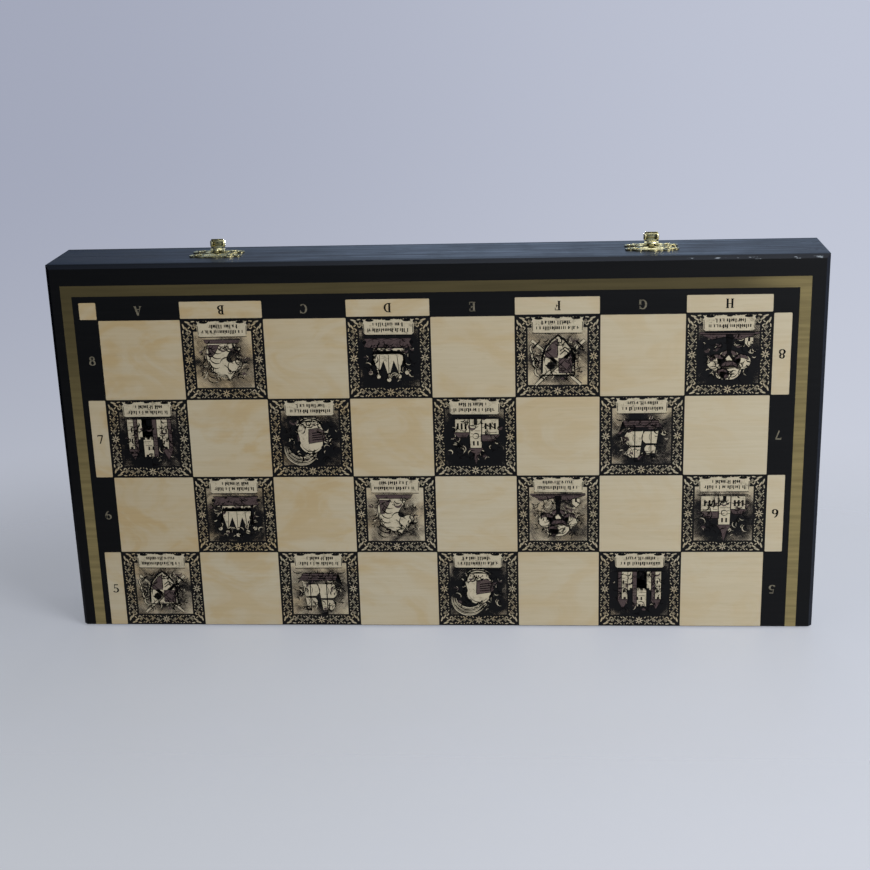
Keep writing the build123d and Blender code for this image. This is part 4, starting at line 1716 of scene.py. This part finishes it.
def courses(x0, x1, low, top, pitch=1.9):
    """Broken lines of masonry."""
    lines = []
    for row in range(1, int((top - low) / pitch)):
        y = low + row * pitch
        shift = (row % 3) * (x1 - x0) * 0.13
        lines.append(bar(x0 + shift, y, (x0 + x1) / 2 + shift * 0.6, y, 0.22))
        lines.append(bar(x1 - (x1 - x0) * 0.28, y, x1 - shift * 0.3, y, 0.22))
    return lines


def contour(outline, width=0.34):
    """The line drawn round a shape, swelling and thinning as it goes."""
    first, last = Vector(outline[0]), Vector(outline[-1])
    path = [tuple(point) for point in outline] + [tuple(last.lerp(first, 0.9))]
    return ribbon(path, [width * (0.75 + 0.5 * (step % 3) / 2) for step in range(len(path))])


# The strokes round a picture: their tone, how many are tried and the widest of them
STROKES = (("pale", 34, 0.55), ("half", 10, 1.6), ("ink", 90, 0.75))
STROKE_SIDE, STROKE_LOW, STROKE_HIGH = 15.0, -12.2, 14.8


def swirls(rng):
    """Leafy strokes and smoke that close in round a picture."""
    shapes = {"pale": [], "half": [], "ink": []}
    for tone_name, count, widest in STROKES:
        for _ in range(count):
            turn = rng.uniform(0, 2 * math.pi)
            reach = rng.uniform(8.0, 15.5)
            x, y = reach * math.cos(turn), 1.3 + reach * math.sin(turn) * 0.92
            radius = rng.uniform(0.8, 2.3)
            if abs(x) + radius < STROKE_SIDE and STROKE_LOW + radius < y < STROKE_HIGH - radius:
                start = math.degrees(turn) + rng.uniform(40, 150)
                width = rng.uniform(0.4, 1.0) * widest
                end = start + rng.uniform(80, 170)
                shapes[tone_name].append(bow(x, y, radius, start, end, width, steps=7))
    return shapes


def ground_lines(y=-11.0, reach=13.0):
    """A few uneven strokes of ground."""
    return [bar(-reach + 1.7 * row, y - 0.75 * row, reach - 1.1 * row, y - 0.75 * row + 0.2, 0.4)
            for row in range(2)]


def picture_castle():
    """A castle with three towers, a curtain wall and a flag."""
    towers = [walls(-11, -6, -11, 4.5, 3), walls(6, 11, -11, 4.5, 3), walls(-3.6, 3.6, -11, 8.6, 4)]
    curtain = walls(-6, 6, -11, -0.5, 6)
    roofs = [[(-11.4, 4.6), (-8.5, 10.2), (-5.6, 4.6)], [(5.6, 4.6), (8.5, 10.2), (11.4, 4.6)]]
    shade = [walls(-7.9, -6, -11, 4.5, 1), walls(9.1, 11, -11, 4.5, 1), walls(1.4, 3.6, -11, 8.6, 1)]
    gate = [(-1.4, -11), (-1.4, -7.8), *arc(0, -7.8, 1.4, 180, 0, 8), (1.4, -11)]
    places = ((-9, -1), (8.2, -1), (-1, 3.2), (1, 3.2), (-9, -6), (8.2, -6))
    slits = [bar(x, y, x, y + 1.9, 0.75) for x, y in places]
    flag = [bar(0, 8.4, 0, 13.6, 0.3), [(0, 13.6), (3.4, 12.8), (0, 11.8)]]
    lines = courses(-11, -6, -11, 4) + courses(6, 11, -11, 4) + courses(-3.6, 3.6, -5, 8)
    return {"pale": [curtain, *towers], "half": shade + roofs,
            "ink": [gate, *slits, *flag, *lines, *ground_lines()]}


def picture_arms():
    """A quartered shield before two crossed swords."""
    shield = [(-7.4, 8.4), (7.4, 8.4), (7.2, 0), (5.6, -4.6), (3, -8),
              (0, -10.4), (-3, -8), (-5.6, -4.6), (-7.2, 0)]
    rim = contour([(x * 1.06, y * 1.05 - 0.1) for x, y in shield], 0.7)
    mantle = [bow(side * (8.2 + 0.7 * row), 6.5 - 3.6 * row, 2.7, 60 + 15 * row, 250, 1.1)
              for row in range(4) for side in (-1, 1)]
    quarter = [(0.2, 7.6), (6.6, 7.6), (6.4, 0.4), (0.2, 0.4)]
    other = [(-0.2, 0), (-6.4, 0), (-5, -4.4), (-2.8, -7.2), (-0.2, -9.2)]
    blades = [bar(-12.4, -8.4, 10.6, 13.4, 1.5), bar(12.4, -8.4, -10.6, 13.4, 1.5)]
    guards = [bar(-11.8, -4.6, -8.4, -8.0, 0.8), bar(11.8, -4.6, 8.4, -8.0, 0.8)]
    charge = [oval(-3.4, 4, 2.0), bar(-3.4, 1.4, -3.4, 6.6, 0.5), bar(-6, 4, -0.8, 4, 0.5)]
    chevrons = [bar(x, -1.4 - 1.6 * row, 3.2, -3.4 - 1.6 * row, 0.5) for row in range(2) for x in (0.8, 5.6)]
    spokes = [bow(3.4, 4, 2.1, turn, turn + 60, 0.9) for turn in range(0, 360, 90)]
    return {"pale": [*blades, shield, *spokes, *mantle], "half": [quarter, other],
            "ink": [rim, *guards, *charge, *chevrons]}


def picture_helmet():
    """A plumed helmet with its visor shut."""
    bowl_top = arc(0.5, 1.5, 6.4, 200, -20, 16)
    helmet = [*bowl_top, (7.6, -4.4), (5.2, -9.6), (-4.6, -9.6), (-6.6, -5.0)]
    visor = [(-0.8, 2.4), (8.6, 0.8), (7.6, -4.6), (4.6, -6.4), (-0.4, -5.6)]
    slots = [bar(1.2, 0.4 - 1.25 * row, 7.2 - 0.4 * row, -0.2 - 1.25 * row, 0.55) for row in range(4)]
    plumes = [bow(-4.5, 3.4 + 0.6 * row, 7.2 + row, 20 + 8 * row, 175 + 6 * row, 2.0) for row in range(3)]
    quills = [bow(-4.5, 3.4 + 0.6 * row, 7.2 + row, 24 + 8 * row, 168 + 6 * row, 0.3) for row in range(3)]
    collar_rows = [bow(0.4, -3.2, 7.6 + 1.2 * row, 222, 318, 0.9) for row in range(2)]
    rivets = [oval(-3.6 + 2.1 * step, -8.2, 0.38, 1, 8) for step in range(5)]
    crest = bow(0.5, 1.5, 5.2, 40, 160, 0.4)
    return {"pale": [helmet, *plumes, *collar_rows], "half": [visor],
            "ink": [*slots, *quills, *rivets, crest, *ground_lines(-11.4)]}


def picture_crown():
    """A crown with five points on a cushion."""
    points = [(-9.4, 5.6), (-5.4, 7.6), (0, 9.4), (5.4, 7.6), (9.4, 5.6)]
    outline = [(-7.6, -4.8)]
    for step, (x, y) in enumerate(points):
        outline.append((x, y))
        if step < 4:
            outline.append(((x + points[step + 1][0]) / 2, 0.4))
    outline.append((7.6, -4.8))
    band = [(-7.9, -3.2), (7.9, -3.2), (7.6, -6.6), (-7.6, -6.6)]
    pearls = [oval(x, y + 1.1, 1.25) for x, y in points]
    cushion = [(-12.4, -7), (-9, -6.4), (9, -6.4), (12.4, -7),
               (11, -9.6), (12.2, -11.6), (-12.2, -11.6), (-11, -9.6)]
    jewels = [oval(x, -4.9, 0.85, 0.8, 10) for x in (-5.4, -1.8, 1.8, 5.4)]
    ribs = [bar(x * 0.82, -2.8, x * 0.96, y - 1.2, 0.3) for x, y in points]
    tassels = [oval(-12.2, -9.4, 0.9), oval(12.2, -9.4, 0.9)]
    folds = [bow(x, -5.8, 5.4, 235, 305, 0.35) for x in (-6.4, 0, 6.4)]
    return {"pale": [outline, band, *pearls], "half": [cushion], "ink": [*jewels, *ribs, *folds, *tassels]}


def picture_ship():
    """A ship with two masts under sail."""
    hull = [(-11.4, -4.2), (-9.6, -5.6), (8, -5.6), (11.8, -2.6), (9.6, -9.4), (-8.4, -9.4)]
    cloths = ((-5, -3.6, 3.2, 3.8), (-5, 4.0, 8.6, 2.8), (3.4, -3.6, 4.4, 4.4), (3.4, 5.2, 11, 3.2))
    sails = []
    for x, low, high, reach in cloths:
        sail = [(x - reach, low), (x - reach * 0.75, high), (x + reach * 0.75, high)]
        for step in range(1, 7):
            belly = 0.86 + 0.4 * math.sin(math.pi * step / 6)
            sail.append((x + reach * belly, high + (low - high) * step / 6))
        sails.append(sail)
    masts = [bar(-5, -5, -5, 11.4, 0.45), bar(3.4, -5, 3.4, 13.6, 0.5), bar(8, -4.6, 13.4, 0.8, 0.4)]
    pennants = [[(-5, 11.4), (-9, 10.6), (-5, 9.8)], [(3.4, 13.6), (-1, 12.8), (3.4, 12)]]
    planks = [bar(-9.4, -6.9, 10, -6.7, 0.35), bar(-8.8, -8.2, 9.8, -8.0, 0.35)]
    waves = [bow(x, -12.6, 3.1, 40, 140, 0.6) for x in (-11, -5.6, 0, 5.6, 11)]
    seams = [bow(x - 2.4, y, 3.4, -38, 38, 0.28) for x, y in ((-5, -0.4), (3.4, 0.2), (-5, 6.2), (3.4, 8))]
    return {"pale": sails, "half": [hull], "ink": [*masts, *pennants, *planks, *waves, *seams]}


def picture_tree():
    """A spreading tree and a cottage on a hill."""
    crowns = ((-5.6, 2.6, 4.6), (0.4, 6.6, 5.6), (6, 2.4, 4.4), (0.2, 1.2, 5.4), (-2.8, 8.4, 3.2))
    pale = [oval(x, y, r, 0.86) for x, y, r in crowns]
    shade = [bow(x, y, r * 0.72, 200, 340, r * 0.5, 0.86) for x, y, r in crowns]
    trunk = [(-1.7, -11), (-0.9, -2), (-3.6, 2), (-2.8, 2.6), (0, -0.8),
             (2.8, 3), (3.6, 2.4), (1.1, -2.2), (2, -11)]
    leaves = [bow(x + 1.4 * math.cos(turn), y + 1.4 * math.sin(turn), r * 0.5, 20, 120, 0.4)
              for x, y, r in crowns for turn in (0.4, 2.5, 4.4)]
    hill = [(-14, -11.2), (-8, -8.4), (-2, -9.6), (5, -8.2), (14, -11.2), (14, -12), (-14, -12)]
    cottage = [(7.2, -9.4), (7.2, -6.4), (9.2, -4.4), (11.2, -6.4), (11.2, -9.4)]
    door = bar(9.2, -9.2, 9.2, -7.4, 1.0)
    return {"pale": [*pale, cottage], "half": [*shade, hill],
            "ink": [trunk, *leaves, door, *ground_lines()]}


def picture_tower():
    """A church tower between its nave and a wing."""
    shaft = [(-3.4, -11), (-3.0, 5), (3.0, 5), (3.4, -11)]
    nave = [(-12, -11), (-12, -2.4), (-9, 0.6), (-3, 0.6), (-3, -11)]
    roof = [(-12.8, -2.4), (-9.6, 1.4), (-2.6, 1.4), (-2.6, -2.4)]
    spire = [(-3.8, 5), (-1.6, 8.2), (0, 14.2), (1.6, 8.2), (3.8, 5)]
    wing = [(3, -11), (3, -3.6), (10.6, -3.6), (10.6, -11)]
    eave = [(2.8, -3.6), (4.6, -0.8), (9.4, -0.8), (11.4, -3.6)]
    openings = [bar(-1, 1.2, -1, 3.6, 0.9), bar(1.1, 1.2, 1.1, 3.6, 0.9), bar(0, -11, 0, -7.6, 1.8)]
    openings += [bar(x, -8.6, x, -5.2, 1.0) for x in (-10, -7.6, -5.2, 5.2, 7.2, 9.2)]
    clock = bow(0, -1.6, 1.5, 0, 360, 0.5)
    lines = courses(-3.2, 3.2, -6, 1, 1.6) + courses(-12, -3.4, -5, 0, 1.5)
    return {"pale": [shaft, nave, wing], "half": [roof, spire, eave],
            "ink": [*openings, clock, *lines, *ground_lines()]}


def picture_horse():
    """A chess knight on its plinth."""
    size = 17.5
    head = [(x * size * 0.6 - 0.6, (y - 0.13) * size * 1.28 - 9.4) for x, y in HORSE_OUTLINE]
    plinth = [(-8.6, -9.4), (8.2, -9.4), (9.4, -11.4), (-9.8, -11.4)]
    mane = [bow(-2.4 - 0.5 * row, -7.5 + 2.6 * row, 3.6, 60, 175, 0.55) for row in range(7)]
    cheek = [bow(1.6, 1.6, 3.4, 190, 350, 0.6), bow(6, -0.6, 2.2, 100, 220, 0.4)]
    eye = [oval(3.3, 5.4, 0.75, 0.7, 10), bow(3.3, 5.4, 1.5, 40, 160, 0.4)]
    strap = [bow(6.6, 3.4, 4.4, 118, 235, 0.45), bar(0.4, 2.0, 5.6, 7.2, 0.35)]
    shade = [(-7.8, -8.6), (-7.2, -2), (-4.4, -3.6), (-1.6, -8.6)]
    return {"pale": [head], "half": [plinth, shade], "ink": [*mane, *cheek, *eye, *strap]}


PICTURES = (picture_castle, picture_arms, picture_helmet, picture_crown,
            picture_ship, picture_tree, picture_tower, picture_horse)
PICTURE_ORDER = (1, 4, 2, 0, 3, 7, 5, 6, 0, 2, 6, 4, 7, 3, 1, 5)
LAYERS = ("pale", "half", "ink")
STROKE_SETS, BAND_SETS = 4, 5
PICTURE_SEED = 11


def banner(rng):
    """A curled band with two rows of small marks on it."""
    band = [(-13.2, -20.5), (-12.6, -19.6), (-13.2, -18.6), (-12.9, -13.6), (-11.8, -12.6),
            (11.9, -12.5), (13.0, -13.5), (13.3, -18.5), (12.6, -19.5), (13.2, -20.5),
            (8, -20.2), (3, -20.7), (-3, -20.3), (-8, -20.7)]
    marks = []
    for y, reach in ((-14.9, 10.6), (-17.9, 7.8)):
        x = -reach
        while x < reach:
            top = 1.15 if rng.random() < 0.35 else 0.55
            width = rng.choice((0.42, 0.5, 0.66))
            marks.append(bar(x, y - 0.95, x, y + top, width))
            if rng.random() < 0.45:
                marks.append(bar(x, y + rng.choice((-0.8, 0.3)), x + 0.9, y + rng.choice((-0.8, 0.3)), 0.26))
            x += rng.choice((0.85, 0.95, 1.1, 1.75))
    curls = [oval(-9.6, -20.1, 2.2, 0.3), oval(9.6, -20.1, 2.2, 0.3), oval(0, -20.3, 1.5, 0.25)]
    ends = ((-12.8, -12.3, 12.8, -12.1), (-12.6, -13.6, -12.8, -18.2), (12.6, -13.6, 12.8, -18.2))
    rules = [bar(*end, 0.34) for end in ends]
    return {"pale": [band], "half": [], "ink": curls + rules + marks}


def picture_layers(shapes):
    """One flat mesh for each tone of a picture, every tone a little above the last."""
    lift = sizes().ink
    layers = {}
    for level, tone_name in enumerate(LAYERS):
        curves = []
        for outline in shapes[tone_name]:
            points = [(x * MM, y * MM) for x, y in outline]
            curves.append(outline_curve(tone_name, points, lift * (level + 1) * 1.4))
        if curves:
            layers[tone_name] = meshed(curves, tone_name)
    return layers


def outlined(shapes):
    """A motif with its pale and half-toned shapes drawn round in ink."""
    lines = [contour(outline) for tone_name in ("pale", "half") for outline in shapes[tone_name]]
    return {**shapes, "ink": shapes["ink"] + lines}


def dark_squares():
    """The columns and rows of the dark squares, as seen facing a board."""
    return [(column, row) for row in range(ROWS) for column in range(COLUMNS) if (column + row) % 2 == 0]


def picture_patterns(rng):
    """The motifs, the strokes that close in round them and the bands, as flat meshes by tone."""
    motifs = [picture_layers(outlined(shape())) for shape in PICTURES]
    strokes = [picture_layers(swirls(rng)) for _ in range(STROKE_SETS)]
    bands = [picture_layers(banner(rng)) for _ in range(BAND_SETS)]
    return motifs, strokes, bands


def pictures(half, finishes, patterns, rng):
    """A motif, the strokes round it and its band in every dark square of one board."""
    square = sizes().square
    motifs, strokes, bands = patterns
    groups = {name: [] for name in LAYERS}
    for index, (column, row) in enumerate(dark_squares()):
        place = on_board(half, (column - MIDDLE_COLUMN) * square, (row + 0.5) * square, math.pi)
        motif = motifs[PICTURE_ORDER[index if half == "front" else index - 5]]
        grow = rng.uniform(1.0, 1.1)
        shift = Matrix.Translation((rng.uniform(-0.6, 0.6) * MM, rng.uniform(0.6, 1.2) * MM, 0))
        turned = [Matrix.Diagonal((rng.choice((-1, 1)), 1, 1, 1)) for _ in range(3)]
        sized = shift @ Matrix.Diagonal((grow, grow, 1, 1))
        layered = (
            (motif, place @ sized @ turned[0]),
            (rng.choice(strokes), place @ turned[1]),
            (rng.choice(bands), place @ turned[2]),
        )
        for layers, matrix in layered:
            for name, piece in layers.items():
                groups[name].append(copied(piece, matrix))
    for name in LAYERS:
        piece = joined(groups[name], f"{half}_{name}_pictures")
        tidy_mesh(piece)
        fitted(piece, piece.name, half + "_half", "printed_board", finishes[name])


# Operators


class CHESS_OT_stage(bpy.types.Operator):
    """Add the camera, the lamps, the pale floor and the backdrop"""

    bl_idname = "chess.stage"
    bl_label = "Stage"
    bl_options = {"REGISTER", "UNDO"}

    def execute(self, context):
        bpy.context.scene.view_settings.view_transform = "Standard"
        add_camera()
        add_lamps()
        add_floor()
        add_backdrop()
        return {"FINISHED"}


class CHESS_OT_boards(bpy.types.Operator):
    """Print the two boards"""

    bl_idname = "chess.boards"
    bl_label = "Printed boards"
    bl_options = {"REGISTER", "UNDO"}

    def execute(self, context):
        for half in HALVES:
            dress(half + "_board", board_finish(half))
        return {"FINISHED"}


class CHESS_OT_rails(bpy.types.Operator):
    """Stain the rails round both halves"""

    bl_idname = "chess.rails"
    bl_label = "Stained rails"
    bl_options = {"REGISTER", "UNDO"}

    def execute(self, context):
        along = rail_finish("stained_long_rail", (ALONG_GRAIN, ACROSS_GRAIN, ACROSS_GRAIN))
        upright = rail_finish("stained_side_rail", (ACROSS_GRAIN, ACROSS_GRAIN, ALONG_GRAIN))
        for half in HALVES:
            for name in ("latch_rail", "hinge_rail"):
                dress(f"{half}_{name}", along)
            for name in ("left_rail", "right_rail"):
                dress(f"{half}_{name}", upright)
        return {"FINISHED"}


class CHESS_OT_men(bpy.types.Operator):
    """Turn the men and stand them in their trays"""

    bl_idname = "chess.men"
    bl_label = "Men"
    bl_options = {"REGISTER", "UNDO"}

    def execute(self, context):
        place_men("black", "front_half", men_finish("black_lacquer", colours().black_men, 0.45))
        place_men("white", "back_half", men_finish("clear_lacquer", colours().white_men, 0.22))
        return {"FINISHED"}


class CHESS_OT_trays(bpy.types.Operator):
    """Flock the trays and felt the men's feet"""

    bl_idname = "chess.trays"
    bl_label = "Trays and felts"
    bl_options = {"REGISTER", "UNDO"}

    def execute(self, context):
        flock = flock_finish("green_flock", colours().flock, 0.0004)
        felt = flock_finish("green_felt", colours().felt, 0.0002)
        for half in HALVES:
            flocked_tray(half, flock)
        round_felts("black", "front_half", felt)
        round_felts("white", "back_half", felt)
        return {"FINISHED"}


class CHESS_OT_latches(bpy.types.Operator):
    """Press the latches, give the hinges their brass, and make their nails and screws"""

    bl_idname = "chess.latches"
    bl_label = "Latches and hinges"
    bl_options = {"REGISTER", "UNDO"}

    def execute(self, context):
        brass = brass_finish("worn_brass", colours().brass, 0.24)
        small = brass_finish("nail_brass", colours().steel, 0.3)
        for side in SIDES:
            make_latch(side, brass)
            for part in ("front_leaf", "back_leaf", "pin"):
                dress(f"{side}_hinge_{part}", brass)
        for half in HALVES:
            make_nails(half, small)
            make_screws(half, small)
        return {"FINISHED"}


class CHESS_OT_coordinates(bpy.types.Operator):
    """Print the letters and numbers"""

    bl_idname = "chess.coordinates"
    bl_label = "Coordinates"
    bl_options = {"REGISTER", "UNDO"}

    def execute(self, context):
        dark = ink_finish("dark_print", colours().ink, 0.5)
        pale = ink_finish("pale_print", colours().pale_print, 0.55)
        for half in HALVES:
            coordinates(half, dark, pale)
        return {"FINISHED"}


class CHESS_OT_pictures(bpy.types.Operator):
    """Print the pictures in the dark squares"""

    bl_idname = "chess.pictures"
    bl_label = "Pictures"
    bl_options = {"REGISTER", "UNDO"}

    def execute(self, context):
        finishes = {
            "pale": engraved_finish("pale_engraving", colours().veneer, 0.0),
            "half": engraved_finish("half_engraving", colours().sepia, 0.35),
            "ink": engraved_finish("ink_engraving", colours().ink, 0.12),
        }
        rng = random.Random(PICTURE_SEED)
        patterns = picture_patterns(rng)
        for half in HALVES:
            pictures(half, finishes, patterns, rng)
        for layers in [layers for group in patterns for layers in group]:
            for piece in layers.values():
                bpy.data.objects.remove(piece)
        return {"FINISHED"}


class CHESS_PT_panel(bpy.types.Panel):
    """Lists the pieces in the 3D view's sidebar"""

    bl_label = "Chess Set"
    bl_idname = "CHESS_PT_panel"
    bl_space_type = "VIEW_3D"
    bl_region_type = "UI"
    bl_category = "Chess Set"

    def draw(self, context):
        """The operators in order, then the sizes and colours."""
        for operator in OPERATORS:
            self.layout.operator(operator.bl_idname)
        for group_name, group in GROUPS.items():
            box = self.layout.box()
            for name in group.__annotations__:
                box.prop(getattr(context.scene, group_name), name)


GROUPS = {"chess_print": ChessPrintSizes, "chess_latch": ChessLatchSizes, "chess_colours": ChessColours}
OPERATORS = (
    CHESS_OT_stage,
    CHESS_OT_boards,
    CHESS_OT_coordinates,
    CHESS_OT_pictures,
    CHESS_OT_rails,
    CHESS_OT_latches,
    CHESS_OT_men,
    CHESS_OT_trays,
)


def register():
    """Register the groups, the operators and the panel."""
    for name, group in GROUPS.items():
        bpy.utils.register_class(group)
        setattr(bpy.types.Scene, name, bpy.props.PointerProperty(type=group))
    for operator in OPERATORS:
        bpy.utils.register_class(operator)
    bpy.utils.register_class(CHESS_PT_panel)


def unregister():
    """Take the panel, the operators and the groups away again."""
    bpy.utils.unregister_class(CHESS_PT_panel)
    for operator in reversed(OPERATORS):
        bpy.utils.unregister_class(operator)
    for name, group in GROUPS.items():
        delattr(bpy.types.Scene, name)
        bpy.utils.unregister_class(group)


def main():
    """Make every piece in order."""
    register()
    for operator in OPERATORS:
        deselect()
        getattr(bpy.ops.chess, operator.bl_idname.split(".")[1])()


if __name__ == "__main__":
    main()
